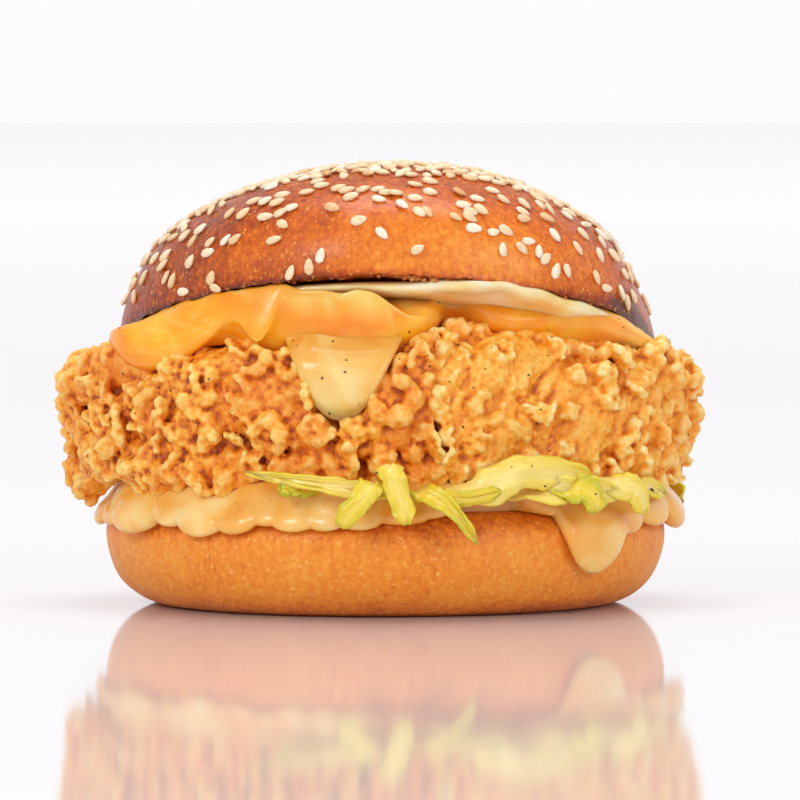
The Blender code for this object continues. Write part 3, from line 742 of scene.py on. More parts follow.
def makeFillet(name, settings, material):
    draw = Random(settings["seed"])
    kinds = {"curl": [curlMesh(draw) for _ in range(10)], "petal": [petalMesh(draw) for _ in range(8)],
        "cluster": [clusterMesh(draw) for _ in range(8)]}
    body = filletBody(name + "_body", settings)
    solids = bmesh.new()
    for kind, px, py, size in settings["placed"]:
        (at, normal), angle = photoPoint(px, py)
        addCrag(solids, kinds, kind, draw, at, normal, size, 0.0)
    for kind, low, high in (("curl", 0.0020, 0.0036), ("petal", 0.0017, 0.0034), ("cluster", 0.0015, 0.0034)):
        for at, normal, covered in crustSpots(settings, settings[kind + "s"], draw):
            grouped = noise.noise(at * 85 + Vector((4.1, 2.3, 0.7)))
            size = draw.uniform(low, high) * settings["big"] * (1 - 0.5 * covered) * (1 + 0.5 * grouped)
            sunk = draw.uniform(0.0002, 0.0014) + 0.0012 * covered + max(0.0,
                size - 0.0026) * 0.5 - settings["stand"] * 2 * grouped
            addCrag(solids, kinds, kind, draw, at, normal, size, -sunk)
    bm = bmesh.new()
    for part in (body.data, bmeshData(solids, "solids")):
        bm.from_mesh(part)
    bpy.data.objects.remove(body)
    fillet = newPiece(name, bm, None, None)
    crust = fillet.modifiers.new("Crust", "REMESH")
    crust.mode = "VOXEL"
    crust.voxel_size = settings["voxel"]
    soften = fillet.modifiers.new("Soften", "SMOOTH")
    soften.factor = 0.4
    soften.iterations = 1
    applyModifiers(fillet)
    bm = bmesh.new()
    bm.from_mesh(fillet.data)
    keepLargest(bm)
    bm.to_mesh(fillet.data)
    bm.free()
    hidden = fillet.vertex_groups.new(name="hidden")
    co = coordinates(fillet.data)
    x, y, z = co.T
    ceiling = seatAt(x, y) - heap["stack"]
    across = np.hypot(x / heap["length"], y / heap["depth"])
    inner = (across < 0.88) & ((z < heap["floor"] + 0.0015) | (z > ceiling - 0.0022) | (abs(x - seamAt(y,
        z)) < 0.0040))
    hidden.add([int(i) for i in np.nonzero(inner)[0]], 1.0, "REPLACE")
    thin = fillet.modifiers.new("ThinHidden", "DECIMATE")
    total = sum(len(face.vertices) - 2 for face in fillet.data.polygons)
    thin.ratio = min(1.0, fillets["triangles"] / total)
    thin.vertex_group = "hidden"
    thin.vertex_group_factor = 30.0
    print(name, "before thinning", total, "hidden", int(inner.sum()))
    applyModifiers(fillet)
    fillet.vertex_groups.clear()
    addGrain(fillet.data, settings["grain"])
    storeRelief(fillet.data, "fineRelief", 6, 0.00030)
    storeRelief(fillet.data, "broadRelief", 60, 0.0015)
    fillet.data.materials.clear()
    fillet.data.materials.append(material)
    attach(fillet, "root")
    print(name, sum(len(face.vertices) - 2 for face in fillet.data.polygons), "triangles")
    return fillet


cheese = {"edge": 0.0527, "lift": (0.0014, 0.0038), "bead": 0.0008, "sink": 0.0042, "thinning": 0.0030, "bumps": [
    (-174, 17, -0.0042), (-137, 13, 0.0054), (-112, 4, 0.0040), (-95, 8, 0.0012), (-73, 8, -0.0056),
    (-58, 8, -0.0026),
    (-38, 8, 0.0004), (-27, 6, 0.0014), (1, 14, -0.0056), (26, 7, 0.0036), (40, 8, -0.0020), (66, 11, 0.0050),
    (110, 12, 0.0040), (154, 9, 0.0036)]}
middleSauce = {"edge": 0.0570, "lift": (0.0002, 0.0018), "power": 2.4, "bumps": [
    (-97, 9.5, 0.0184), (-70, 12, -0.0040), (-38, 14, -0.0030), (76, 7, 0.0110), (148, 8, 0.0040)]}

leftPiece = makeFillet("crust_left", leftFillet, leftCrust)
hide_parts("chicken_left")
rightPiece = makeFillet("crust_right", rightFillet, rightCrust)
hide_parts("chicken_right")
print("fillets done")


def crownSag(angle):
    # the rim of the crown droops at its right and left ends
    turn = degrees(angle)
    return 0.0038 * hump(turn, -8, 19) + 0.0014 * hump(turn % 360, 180, 14)


def storeShare(piece, name, rule):
    storeValues(piece.data, name, [rule(vert.co) for vert in piece.data.vertices])


def placeCheese(share, angle, level):
    belt = share * beltAt(edgeHeight(cheese["edge"], cheese["bumps"], angle))
    low, high = cheese["lift"]
    up = (level + 1) / 2
    skin, normal = heapSkin(belt, angle)
    beyond = smooth(0.90, 1.04, hypot(skin.x - crown["shift"], skin.y) / crown["radius"])
    high -= cheese["thinning"] * hump(degrees(angle), -14, 19) * beyond
    folds = 0.0014 * noise.noise(skin * 75 + noise.noise_vector(skin * 60) * 0.8) + 0.0006 * noise.noise(skin * 190)
    bead = cheese["bead"] * smooth(0.72, 0.93, share) * (1 + 0.8 * noise.noise(Vector((angle * 5, 1.0, 0))))
    low -= cheese["sink"] * smooth(0.70, 0.92, share)
    lift = low + (high - low + bead + folds * smooth(0.3, 0.6, share)) * up
    point = skin + normal * lift
    seat = seatAt(point.x, point.y)
    point.z = min(point.z, seat - heap["stack"] + min(lift, high))
    near = hypot(point.x - crown["shift"], point.y) / crown["radius"]
    meeting = hump(near, 0.985, 0.052) * up * (0.86 + 0.14 * sin(3 * angle + 0.6))
    under = seat - crownSag(angle) * 0.8 + 0.0005 + 0.0009 * noise.noise(skin * 260)
    point.z += max(0.0, under - point.z) * meeting
    return point


def creamyShare(point):
    # where cream sauce has run into the cheese: the right front, and thin streaks elsewhere
    angle = degrees(atan2(point.y, point.x))
    swirl = noise.noise(Vector((point.x * 45, point.y * 45, point.z * 330 + point.x * 90))
        + noise.noise_vector(point * 45) * 0.9)
    right = hump(angle, -22, 15) * smooth(-0.25, 0.15, swirl + 0.20)
    upper = smooth(0.0590, 0.0625, point.z + 0.005 * swirl) * smooth(-125, -95, angle) * (1 - smooth(-30, -10, angle))
    streak = hump(swirl, 0.1, 0.075) * smooth(-160, -125, angle) * (1 - smooth(-70, -45, angle))
    return min(1.0, right + 0.6 * upper + 0.5 * streak)


cheesePiece = cushion("cheese_melt", placeCheese, 260, 46, 0.4, cheeseGloss, "melted_cheese")
storeShare(cheesePiece, "creamy", creamyShare)
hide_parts("cheese")


def placeMiddleSauce(share, angle, level):
    belt = share * beltAt(edgeHeight(middleSauce["edge"], middleSauce["bumps"], angle, middleSauce["power"]))
    low, high = middleSauce["lift"]
    hanging = smooth(0, 0.25, belt - beltAt(cheese["edge"]))
    skin = heapSkin(belt, angle)[0]
    lift = low + (high - low + 0.0014 * hanging + 0.0004 * noise.noise(skin * 120)) * (level + 1) / 2
    return heapPoint(belt, angle, lift)


middlePiece = cushion("sauce_tongue", placeMiddleSauce, 200, 36, 0.5, creamGloss, "cream_sauce")
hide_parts("sauce_middle")


topSauce = {"edge": 0.958, "lip": 0.044, "wave": 0.006, "thickness": 0.0034, "rightThickness": 0.0026, "push": 0.0024}


def placeTopSauce(share, angle, level):
    # the lip laps over the rim of the crown at the right front
    right = hump(degrees(angle), -42, 34)
    lip = exp(-((degrees(angle) + 56) / 24) ** 4)
    wave = topSauce["wave"] * sin(5 * angle) + topSauce["wave"] * sin(9 * angle + 1)
    edge = crown["radius"] * (topSauce["edge"] + topSauce["lip"] * lip + (1 - lip) * wave)
    radius = share * edge
    x, y = crown["shift"] + radius * cos(angle), radius * sin(angle)
    top = seatAt(x, y) - 0.0002 + (0.0015 + 0.0010 * noise.noise(Vector((x, y, 3.0)) * 160)) * lip * smooth(0.80,
        0.96, share)
    thick = topSauce["thickness"] + topSauce["rightThickness"] * right * (0.75 + 0.45 * sin(9 * angle + 2.4))
    thick += 0.0012 * noise.noise(Vector((x, y, 0)) * 90)
    bottom = top - thick * (1 - 0.1 * share ** 4)
    push = topSauce["push"] * (1 - level ** 2) * smooth(0.85, 1.0, share) * (0.2 + 0.5 * lip)
    return Vector((x + push * cos(angle), y + push * sin(angle), bottom + (top - bottom) * (level + 1) / 2))


# the band under the crown takes the paler cream copy, painted light
topPiece = cushion("sauce_under_crown", placeTopSauce, 200, 30, 0.4, paintedLitCream, "cream_sauce")
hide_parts("sauce_top")

bottomSauce = {"edge": 0.0184, "thickness": 0.0015, "bead": 0.0030, "lobes": [
    (-175, 7, 0.0030), (-163, 6.5, 0.0026), (-149, 8, 0.0034), (-137.5, 5, 0.0020), (-129, 6.2, 0.0032),
    (-121, 5, 0.0026), (-114, 4, 0.0012),
    (-108.5, 5, 0.0020), (-102, 4.2, 0.0018), (-95, 4.6, 0.0016), (-86, 5, 0.0008), (-43.5, 8.5, 0.0098),
    (-34, 8, 0.0034), (-20, 7, 0.0026),
    (-6, 7.5, 0.0036), (8, 7, 0.0024), (21, 8, 0.0044), (36, 7, 0.0024), (49, 6, 0.0036), (60, 8, 0.0060),
    (74, 7, 0.0028), (87, 7, 0.0022),
    (100, 7, 0.0046), (113, 6, 0.0024), (124, 7, 0.0030), (137, 6, 0.0022), (148, 7.5, 0.0050), (161, 7, 0.0026),
    (173, 6, 0.0036)],
    "notches": [(-66, 9, 0.0034)]}


def sauceLobes(angle):
    # the deepest lobe at this angle, and how round the sauce bulges there
    drop, bulge = 0.0, 0.0
    for middle, half, deep in bottomSauce["lobes"]:
        apart = abs(turnBetween(degrees(angle), middle)) / half
        dome = sqrt(1 - apart * apart) if apart < 1 else 0.0
        drop = max(drop, deep * dome)
        bulge = max(bulge, dome)
    for middle, half, rise in bottomSauce["notches"]:
        apart = turnBetween(degrees(angle), middle) / half
        drop -= rise * exp(-apart * apart)
    return drop, bulge


def placeBottomSauce(share, angle, level):
    drop, bulge = sauceLobes(angle)
    reach = heelReach(bottomSauce["edge"] - drop)
    at = share / 0.3 if share <= 0.3 else 1 + (share - 0.3) / 0.7 * (reach - 1)
    over = smooth(0.72, 0.98, at)
    hanging = smooth(1.15, 1.7, at)
    plump = 0.0030 * smooth(0.80, 0.95, at) * (1 - smooth(1.05, 1.5, at))
    lobe = 0.0011 * (bulge - 0.55) * hanging
    bead = bottomSauce["bead"] + 0.0024 * exp(-((degrees(angle) + 158) % 360 / 22) ** 2)
    bead += 0.0020 * hump(degrees(angle), -4, 16)
    thickness = bottomSauce["thickness"] + (bead - bottomSauce["thickness"]) * over + plump + lobe
    skin = heelPoint(at, angle, 0.0)
    thickness += 0.0004 * noise.noise(skin * 150) * over
    return heelPoint(at, angle, 0.0001 + thickness * (level + 1) / 2)


bottomPiece = cushion("sauce_drips", placeBottomSauce, 420, 40, 0.3, creamGloss, "cream_sauce")
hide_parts("sauce_bottom")
print("cheese and sauces done")

# the bun


def makeCrown():
    bm = bmesh.new()
    bmesh.ops.create_uvsphere(bm, u_segments=240, v_segments=120, radius=1.0)
    for vert in bm.verts:
        t, angle = polar(vert)
        if vert.co.z >= 0:
            point = crownPoint(sin(t * pi / 2), angle)
            normal = crownNormal(sin(t * pi / 2), angle)
            rough = 0.0005 * noise.noise(point * 55) + 0.00022 * noise.noise(point * 150)
            rough += 0.0003 * noise.noise(Vector((angle * 26, point.z * 500, 0))) * smooth(0.86, 1.0, t)
            vert.co = point + normal * rough
            vert.co.z -= crownSag(angle) * smooth(0.80, 1.0, sin(t * pi / 2))
        else:
            rim = crownPoint(1.0, angle)
            radial = max(t / 0.9 if t < 0.9 else 1.0, 0.0)
            x = crown["shift"] + (rim.x - crown["shift"]) * radial * (0.985 if t < 0.95 else 1)
            y = rim.y * radial * (0.985 if t < 0.95 else 1)
            ragged = 0.0009 * noise.noise(Vector((angle * 14, 2.0, 0))) + 0.0006 * noise.noise(Vector((angle * 40,
                5.0, 0)))
            vert.co = (x, y, seatAt(x, y) - (0.0003 + ragged) * smooth(0.6, 0.97, t) - crownSag(angle) * smooth(0.72,
                0.95, t))
    bmesh.ops.recalc_face_normals(bm, faces=bm.faces)
    piece = newPiece("bun_crown", bm, crownCrust, "bun_crust")

    # how dark the crust is: paler low at the front, toasted at the rim and darkest where the crumb shows at the
    # right, with painted shade towards the sides and a painted sheen at the left front
    def crustDarknessAt(co):
        front = smooth(0.0, 0.9, -co.y / crown["radius"]) * hump(co.x, 0.016, 0.036)
        above = co.z - seatAt(co.x, co.y) + crownSag(atan2(co.y, co.x - crown["shift"])) * 0.8
        pale = front * (1 - smooth(0.006, 0.021, above))
        turn = degrees(atan2(co.y, co.x - crown["shift"]))
        bare = hump(turn, -27, 14)
        rim = 1 - smooth(0.0, 0.0014 + 0.0052 * bare, above + 0.0026 * noise.noise(co * 420) * bare)
        # painted shade: darker towards the left and right of the front, most on the left
        side = smooth(0.0, 0.050, abs(co.x - 0.012)) * 0.12 + 0.06 * smooth(0.020, 0.048, -co.x)
        # painted sheen: a pale reflection patch at the left front
        paintedSheen = exp(-((co.x + 0.029) / 0.0095) ** 2 - ((above - 0.0062) / 0.0030) ** 2) * smooth(0.1, 0.5,
            -co.y / crown["radius"])
        return 0.62 + side - 0.46 * pale + 0.35 * rim + 0.30 * bare * rim - 0.16 * paintedSheen

    storeShare(piece, "crustDarkness", crustDarknessAt)
    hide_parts("bun_top")
    return piece


def makeHeel():
    bm = bmesh.new()
    bmesh.ops.create_uvsphere(bm, u_segments=240, v_segments=120, radius=1.0)
    for vert in bm.verts:
        t, angle = polar(vert)
        if vert.co.z >= 0:
            reach = t / 0.4 if t < 0.4 else 1 + (t - 0.4) / 0.6
            point = heelPoint(reach, angle, 0)
        else:
            low = 1 - t
            if low < 0.6:
                point = heelPoint(2 + low / 0.6, angle, 0)
            else:
                edge = heelPoint(3, angle, 0)
                point = edge * ((1 - low) / 0.4)
        steady = smooth(0.0, 0.003, point.z)
        rough = (0.0004 * noise.noise(point * 60) + 0.0002 * noise.noise(point * 170)) * steady
        out = Vector((cos(angle), sin(angle), 0)) if point.z < heel["top"] - 0.0004 else Vector((0, 0, 0.5))
        vert.co = point + out * rough
        vert.co.z = max(vert.co.z, 0.0)
    bmesh.ops.recalc_face_normals(bm, faces=bm.faces)
    piece = newPiece("bun_heel", bm, heelCrust, "bun_side")

    def crustDarknessAt(co):
        top = smooth(0.0125, 0.0195, co.z)
        foot = 1 - smooth(0.0, 0.0045, co.z)
        return 0.42 + 0.30 * top + 0.22 * foot

    storeShare(piece, "crustDarkness", crustDarknessAt)
    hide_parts("bun_bottom")


crownPiece = makeCrown()
makeHeel()
print("bun done")

crumbs = {"count": 560, "seed": 17, "depth": 0.0003,
    "zones": [(-80, 9, 0.0008), (-38, 9, 0.0012), (-16, 12, 0.0014), (-174, 10, 0.0010), (60, 30, 0.0006)]}


def makeCrumbs():
    # the toasted, ragged crumb that shows below the crown's skin
    draw = Random(crumbs["seed"])
    kinds = []
    for _ in range(5):
        bm = bmesh.new()
        addLump(bm, draw, Vector((0, 0, 0)), (1, 1, 1), 1, 0.5)
        kinds.append(bmeshData(bm, "crumb"))
    bm = bmesh.new()
    count = 0
    while count < crumbs["count"]:
        angle = draw.uniform(-180, 180)
        depth = crumbs["depth"] + sum(deep * hump(turnBetween(angle, middle), 0, half) for middle, half,
            deep in crumbs["zones"])
        if draw.random() > depth / 0.0018:
            continue
        count += 1
        down = draw.uniform(0, depth)
        rim = crownPoint(1.0, radians(angle))
        inward = draw.uniform(0.955, 0.988) - down * 6
        x, y = crown["shift"] + (rim.x - crown["shift"]) * inward, rim.y * inward
        size = draw.uniform(0.0004, 0.0009)
        turn = Euler((draw.uniform(0, tau), draw.uniform(0, tau), 0)).to_matrix()
        addCopy(bm, draw.choice(kinds), turn, Vector((x, y,
            seatAt(x, y) - crownSag(radians(angle)) - down + 0.0002)), (size, size * 0.7, size * 1.2))
    return newPiece("crown_crumb", bm, toastedCrumb, "bun_crust")


makeCrumbs()

seeds = {"size": (0.0033, 0.0020, 0.0011), "count": 1050, "seed": 5}
frontSeeds = [(321, 256, 82), (310, 267, 95), (291, 273, 75), (359, 221, 20), (382, 234, -50), (275, 241, 8),
    (283, 225, -45), (281, 214, 5),
    (266, 218, -5), (292, 209, -12), (333, 209, -35), (211, 243, 8), (209, 253, 0), (193, 242, 35), (202, 231, 25),
    (186, 237, 60),
    (227, 241, 50), (236, 240, 40), (191, 262, 55), (167, 256, 20), (164, 266, 70), (167, 278, 70), (173, 281, 70),
    (212, 278, 70),
    (217, 288, -5), (185, 292, 0), (136, 297, 60), (145, 278, 60), (156, 259, 55), (231, 215, 65), (244, 215, 50),
    (255, 203, 10),
    (266, 203, 30), (278, 204, 30), (307, 194, -5), (322, 187, 15), (318, 183, 25), (283, 196, 0), (339, 190, 60),
    (347, 192, 0),
    (351, 198, 15), (363, 191, 40), (379, 200, -35), (378, 190, 0), (386, 194, -10), (417, 250, 30), (402, 206, -55),
    (419, 213, -60),
    (427, 213, -60), (415, 199, -15), (430, 193, -40), (415, 186, 5), (430, 183, -20), (396, 195, 0),
    (459, 194, -45), (477, 200, 5),
    (463, 206, 5), (470, 213, -10), (480, 211, -50), (455, 218, -45), (469, 219, -25), (473, 229, -10),
    (493, 233, 25), (505, 232, -30),
    (502, 250, 80), (521, 249, -50), (528, 242, 10), (538, 252, 75), (545, 259, 40), (555, 271, 60), (566, 271, -60),
    (554, 236, -65),
    (546, 219, -40), (523, 220, 30), (522, 213, 0), (503, 201, -20), (492, 192, -35), (523, 206, -35),
    (549, 211, -25), (582, 235, -30),
    (577, 249, -55), (599, 256, -55), (601, 243, -50), (612, 257, -40), (618, 252, -45), (595, 278, -85),
    (605, 289, 10), (620, 293, 90),
    (626, 303, -80), (631, 297, 80), (637, 287, -75), (651, 307, -75)]


def frontPlaces(tree):
    # each seed's place, outward normal and long direction, by its pixel and its angle in the photograph
    for px, py, turn in frontSeeds:
        start, way = photoRay(px, py)
        at, normal, _, _ = tree.ray_cast(start, way)
        if at is None:
            continue
        along = Vector((cos(radians(turn)), 0, sin(radians(turn))))
        along -= normal * along.dot(normal)
        yield at, normal, along.normalized()


def seedMesh():
    bm = bmesh.new()
    bmesh.ops.create_uvsphere(bm, u_segments=8, v_segments=6, radius=0.5)
    for vert in bm.verts:
        narrow = 1 - 0.55 * vert.co.x - 0.25 * vert.co.x ** 2
        length, width, height = seeds["size"]
        vert.co = (vert.co.x * length, vert.co.y * width * narrow, vert.co.z * height * (1 - 0.2 * vert.co.x))
    return bmeshData(bm, "seed")


def seedRoom(at, normal):
    # seeds lie close together on the top and far apart low down
    share = hypot(at.x - crown["shift"], at.y) / crown["radius"]
    return 1.0 + 1.5 * smooth(0.78, 0.98, share)


def makeSeeds(crownPiece):
    template = seedMesh()
    draw = Random(seeds["seed"])
    tree = BVHTree.FromObject(crownPiece, bpy.context.evaluated_depsgraph_get())
    placed = [(at, normal, along, draw.uniform(0.92, 1.08)) for at, normal, along in frontPlaces(tree)]
    tries = 0
    while len(placed) < seeds["count"] and tries < 40000:
        tries += 1
        share, angle = sqrt(draw.uniform(0.0, 0.97)), draw.uniform(-pi, pi)
        at, normal, _, _ = tree.find_nearest(crownPoint(share, angle))
        front = smooth(0.1, 0.6, -at.y / crown["radius"])
        if draw.random() < front and at.z < seatAt(at.x, at.y) + 0.0212:
            continue
        room = 0.00190 * seedRoom(at, normal) * draw.uniform(0.8, 1.25)
        if any((at - other[0]).length < room for other in placed):
            continue
        spin = draw.uniform(0, tau)
        side = normal.orthogonal().normalized()
        placed.append((at, normal, side * cos(spin) + normal.cross(side) * sin(spin), draw.uniform(0.84, 1.10)))
    bm = bmesh.new()
    tints = []
    for at, normal, along, scale in placed:
        pose = Matrix((along, normal.cross(along), normal)).transposed() @ Euler((draw.gauss(0, 0.18),
            draw.gauss(0, 0.12), 0)).to_matrix()
        start = len(bm.verts)
        addCopy(bm, template, pose, at + normal * draw.uniform(0.00025, 0.00060),
            (scale, scale * draw.uniform(0.85, 1.1), scale))
        tints += [min(max(draw.gauss(0.6, 0.24), 0.0), 1.0)] * (len(bm.verts) - start)
    piece = newPiece("sesame_seeds", bm, sesameCoat, "bun_crust")
    storeValues(piece.data, "tint", tints)
    print("seeds", len(placed))


makeSeeds(crownPiece)
print("seeds done")

# lettuce

shredRows = [
    [(-80, 0.044, 0.0240), (-92, 0.0575, 0.0252), (-104, 0.0592, 0.0268), (-117, 0.0588, 0.0284), 0.0050, 0.0006],
    [(-94, 0.043, 0.0238), (-92, 0.0580, 0.0268), (-94, 0.0618, 0.0240), (-98, 0.0622, 0.0186), 0.0052, 0.0040],
    [(-88, 0.042, 0.0236), (-89, 0.0575, 0.0290), (-88, 0.0612, 0.0268), (-86, 0.0626, 0.0190), 0.0048, 0.0040],
    [(-86, 0.042, 0.0234), (-83, 0.0582, 0.0254), (-78, 0.0622, 0.0218), (-73, 0.0608, 0.0152), 0.0056, 0.0008],
    [(-82, 0.043, 0.0234), (-80, 0.0572, 0.0244), (-75, 0.0592, 0.0236), (-68, 0.0594, 0.0250), 0.0038, 0.0020],
    [(-76, 0.042, 0.0234), (-72, 0.0560, 0.0250), (-60, 0.0572, 0.0284), (-46, 0.0580, 0.0266), 0.0076, 0.0050],
    [(-64, 0.042, 0.0234), (-58, 0.0572, 0.0246), (-50, 0.0600, 0.0252), (-42, 0.0612, 0.0236), 0.0062, 0.0036],
    [(-56, 0.042, 0.0234), (-53, 0.0582, 0.0252), (-50, 0.0618, 0.0242), (-49, 0.0626, 0.0206), 0.0070, 0.0044],
    [(-46, 0.042, 0.0234), (-42, 0.0582, 0.0250), (-38, 0.0620, 0.0240), (-36, 0.0628, 0.0200), 0.0068, 0.0040],
    [(-34, 0.043, 0.0234), (-31, 0.0572, 0.0250), (-26, 0.0590, 0.0240), (-20, 0.0588, 0.0228), 0.0052, 0.0020],
    [(-104, 0.042, 0.0234), (-106, 0.0560, 0.0250), (-108, 0.0585, 0.0258), (-110, 0.0592, 0.0250), 0.0036, 0.0024],
]


def routePoint(points, share):
    spans = len(points) - 1
    index = min(int(share * spans), spans - 1)
    t = share * spans - index
    a, b, c, d = (Vector(points[max(0, min(spans, index + k))]) for k in (-1, 0, 1, 2))
    at = 0.5 * (2 * b + (c - a) * t + (2 * a - 5 * b + 4 * c - d) * t * t + (3 * b - a - 3 * c + d) * t ** 3)
    angle = radians(at.x)
    return Vector((at.y * cos(angle), at.y * sin(angle), at.z))


def backRoutes():
    draw = Random(7)
    for step in range(13):
        angle = 30 + step * 116 / 12 + draw.uniform(-4, 4)
        turn = draw.choice((-1, 1)) * draw.uniform(10, 26)
        yield [
            (angle, 0.042, 0.0234),
            (angle + turn * 0.3, 0.0560, 0.0240 + draw.uniform(0, 0.0008)),
            (angle + turn * 0.7, 0.0600, 0.0238),
            (angle + turn, 0.0606 + draw.uniform(0, 0.0010), 0.0190 + draw.uniform(0, 0.0044)),
            draw.uniform(0.0050, 0.0084),
            draw.uniform(0.0010, 0.0036),
        ]


def makeLettuce():
    bm = bmesh.new()
    greens = []
    draw = Random(3)
    for index, row in enumerate(shredRows + list(backRoutes())):
        points, rootWidth, tipWidth = row[:-2], row[-2], row[-1]
        start = len(bm.verts)
        grid = bmesh.ops.create_grid(bm, x_segments=44, y_segments=14, size=0.5)["verts"]
        tone = draw.uniform(0.1, 0.75)
        for vert in grid:
            share, side = vert.co.x + 0.5, vert.co.y
            at = routePoint(points, share)
            along = (routePoint(points, min(share + 0.03, 1.0)) - routePoint(points,
                max(share - 0.03, 0.0))).normalized()
            outward = Vector((at.x, at.y, 0.0)).normalized()
            facing = Vector((0, 0, 1)).lerp(outward, min(share * 1.6, 1.0))
            across = along.cross(facing).normalized()
            width = (rootWidth + (tipWidth - rootWidth) * share ** 1.6) * (1 - 0.75 * smooth(0.86, 1.0, share) ** 2)
            width *= 1 + 0.16 * noise.noise(Vector((share * 22, index * 2.3, copysign(4, side))))
            rib = 0.00018 * exp(-(side / 0.09) ** 2) + 0.00010 * cos(side * 30 + share * 3)
            crease = rib + width * 0.20 * (1 - 4 * side * side) * sin(index * 2.1 + share
                * 2) + 0.0004 * noise.noise(Vector((share * 9, side * 5, index * 3.3)))
            ruffle = 0.0012 * (abs(side) * 2) ** 2 * noise.noise(Vector((share * 12, index * 1.7, copysign(1, side))))
            vert.co = at + across * (side * width * (1 + 0.25
                * noise.noise(Vector((share * 6, copysign(2, side), index))))) + along.cross(across) * (crease
                + ruffle)
            pale = 0.20 * exp(-(side / 0.16) ** 2) + 0.06 * cos(side * 30 + share * 3)
            greens.append(min(max(tone + 0.7 * (abs(side) - 0.25) + 0.3 * (share - 0.5) - pale, 0.0), 1.0))
    piece = newPiece("lettuce_shreds", bm, leafFinish, "lettuce_leaf")
    storeValues(piece.data, "green", greens)
    leaf = piece.modifiers.new("Leaf", "SOLIDIFY")
    leaf.thickness = 0.0007
    leaf.offset = 0.0
    applyModifiers(piece)
    return piece


def placeBed(share, angle, level):
    radius = share * 0.0480 * uneven(angle, 0.012, 2.2)
    return Vector((radius * cos(angle), radius * sin(angle), 0.0229 + 0.0018 * (level + 1) / 2))


lettucePiece = makeLettuce()
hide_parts("lettuce")
cushion("lettuce_bed", placeBed, 120, 12, 0.0, leafFinish, "lettuce_leaf")
print("lettuce done")

# pepper and dark specks

pepper = {"count": 300, "seed": 23, "specks": [(651, 490, 0.00085), (545, 486, 0.0003), (596, 494, 0.0003),
    (430, 366, 0.0003), (322, 378, 0.0003), (345, 372, 0.0003)]}


def makePepper(pieces):
    draw = Random(pepper["seed"])
    trees = [BVHTree.FromObject(piece, bpy.context.evaluated_depsgraph_get()) for piece in pieces]
    kinds = []
    for _ in range(4):
        bm = bmesh.new()
        addLump(bm, draw, Vector((0, 0, 0)), (1, 0.7, 0.5), 1, 0.6)
        kinds.append(bmeshData(bm, "speck"))
    bm = bmesh.new()

    def lay(start, way, size):
        hits = [hit for hit in (tree.ray_cast(start, way) for tree in trees) if hit[0] is not None]
        if hits:
            at, normal = min(hits, key=lambda hit: hit[3])[:2]
            addCopy(bm, draw.choice(kinds), posed(normal, draw.gauss(0, 0.3), draw.uniform(0, tau), 0),
                at + normal * size * 0.15, size)

    for px, py, size in pepper["specks"]:
        lay(*photoRay(px, py), size)
    for _ in range(pepper["count"]):
        angle, height = draw.uniform(-pi, pi), draw.uniform(0.0180, 0.0600)
        out = Vector((cos(angle), sin(angle), draw.uniform(-0.1, 0.4)))
        lay(Vector((0, 0, height)) + out * 0.12, -out.normalized(), draw.uniform(0.00012, 0.00032))
    material, tree, shader = newMaterial("pepper_speck", {"Roughness": 0.6})
    tree.links.new(ramp(tree, noiseValue(tree, objectSpace(tree), 900, 2),
        [(0.3, shade(30, 16, 8)), (0.7, shade(84, 48, 22))]), shader.inputs["Base Color"])
    bumpFrom(tree, shader, noiseValue(tree, objectSpace(tree), 3000, 2), 0.3, 0.0001)
    return newPiece("pepper_specks", bm, material, "fried_crust")


makePepper([leftPiece, rightPiece, middlePiece, bottomPiece, cheesePiece, lettucePiece])
print("pepper done")

# studio

def makeCamera():
    focus, distance = Vector(studio["focus"]), studio["distance"]
    tilt = radians(studio["elevation"])
    data = bpy.data.cameras.new("photoCamera")
    camera = bpy.data.objects.new("photoCamera", data)
    bpy.context.scene.collection.objects.link(camera)
    camera.location = focus + Vector((0, -cos(tilt), sin(tilt))) * distance
    camera.rotation_euler = (focus - camera.location).to_track_quat("-Z", "Y").to_euler()
    data.sensor_width = 36
    data.lens = 36 * distance / studio["frameWidth"]
    data.clip_start = 0.01
    bpy.context.scene.camera = camera


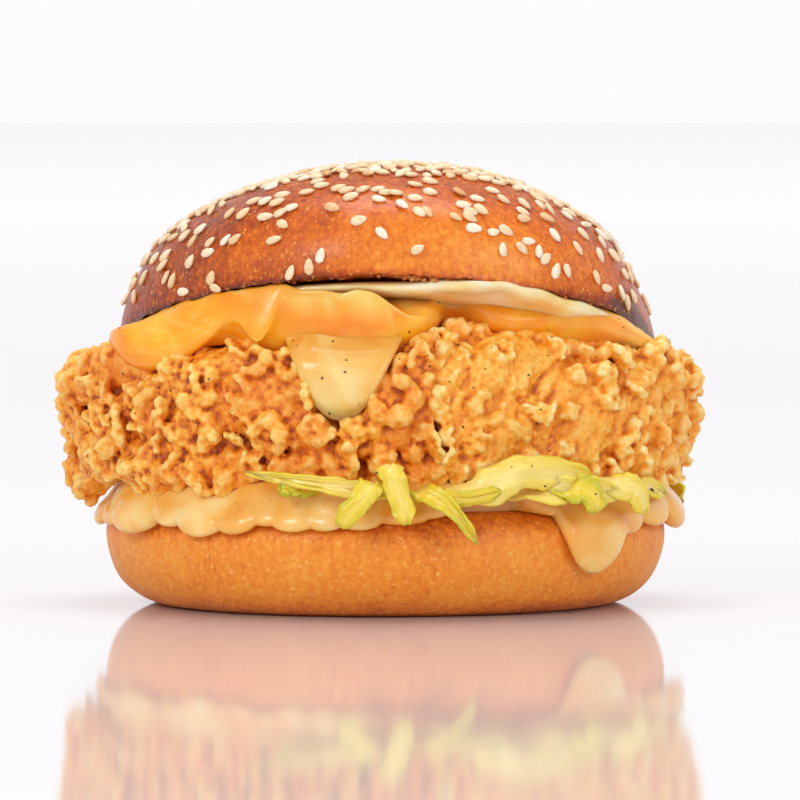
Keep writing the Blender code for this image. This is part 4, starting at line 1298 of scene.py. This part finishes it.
def makeFloor():
    bm = bmesh.new()
    bmesh.ops.create_circle(bm, cap_ends=True, segments=96, radius=30.0)
    material, tree, shader = newMaterial("pale_floor",
        {"Roughness": 0.06, "Specular IOR Level": 0.42, "Emission Color": (1.0, 0.98, 1.0, 1.0)})
    space = objectSpace(tree)
    cloud = maths(tree, "MULTIPLY", noiseValue(tree, space, 8, 2), 0.1)
    away = node(tree, "ShaderNodeVectorMath", {"operation": "LENGTH"}, i0=space).outputs["Value"]
    # the floor is darker near the burger and paler far off: painted light that evens out how the lamps light it
    near = ramp(tree, maths(tree, "ADD", rampValue(tree, away, 0.15, 1.6), cloud),
        [(0.0, (0.76, 0.75, 0.76)), (1.0, (0.99, 0.975, 0.99))])
    tree.links.new(near, shader.inputs["Base Color"])
    # a faint glow on the far floor: painted light
    tree.links.new(rampValue(tree, away, 1.2, 5.0, 0.0, 0.05), shader.inputs["Emission Strength"])
    bumpFrom(tree, shader, noiseValue(tree, space, 30, 2), 0.02, 0.0001)
    floor = newPiece("studio_floor", bm, material, None)


def addLight(name, at, size, power, colour=(1, 1, 1)):
    data = bpy.data.lights.new(name, "AREA")
    data.shape = "RECTANGLE"
    data.size, data.size_y = size
    data.energy = power
    data.color = colour
    lamp = bpy.data.objects.new(name, data)
    bpy.context.scene.collection.objects.link(lamp)
    lamp.location = at
    lamp.rotation_euler = (Vector((0, 0, 0.045)) - Vector(at)).to_track_quat("-Z", "Y").to_euler()


def makeLights():
    # a bright band all round at eye level, dimmer overhead
    world = bpy.data.worlds.new("studioWorld")
    world.use_nodes = True
    tree = world.node_tree
    back = tree.nodes["Background"]
    way = node(tree, "ShaderNodeTexCoord")
    height = node(tree, "ShaderNodeSeparateXYZ", Vector=way.outputs["Object"]).outputs["Z"]
    sky = ramp(tree, rampValue(tree, height, 0.0, 1.0),
        [(0.0, (0.985, 0.965, 0.985)), (0.22, (0.985, 0.965, 0.985)), (0.5, (0.55, 0.55, 0.56)),
        (1.0, (0.50, 0.50, 0.51))])
    tree.links.new(sky, back.inputs["Color"])
    back.inputs["Strength"].default_value = 1.0
    bpy.context.scene.world = world
    addLight("keyLeft", (-0.70, -1.00, 0.75), (0.45, 0.45), 5.4)
    addLight("fillRight", (0.85, -0.85, 0.50), (0.5, 0.6), 2.7)
    addLight("overhead", (0.0, 0.15, 1.1), (0.6, 0.6), 6.0)
    bpy.context.scene.view_settings.view_transform = "Standard"


makeCamera()
makeFloor()
makeLights()
print("studio done")
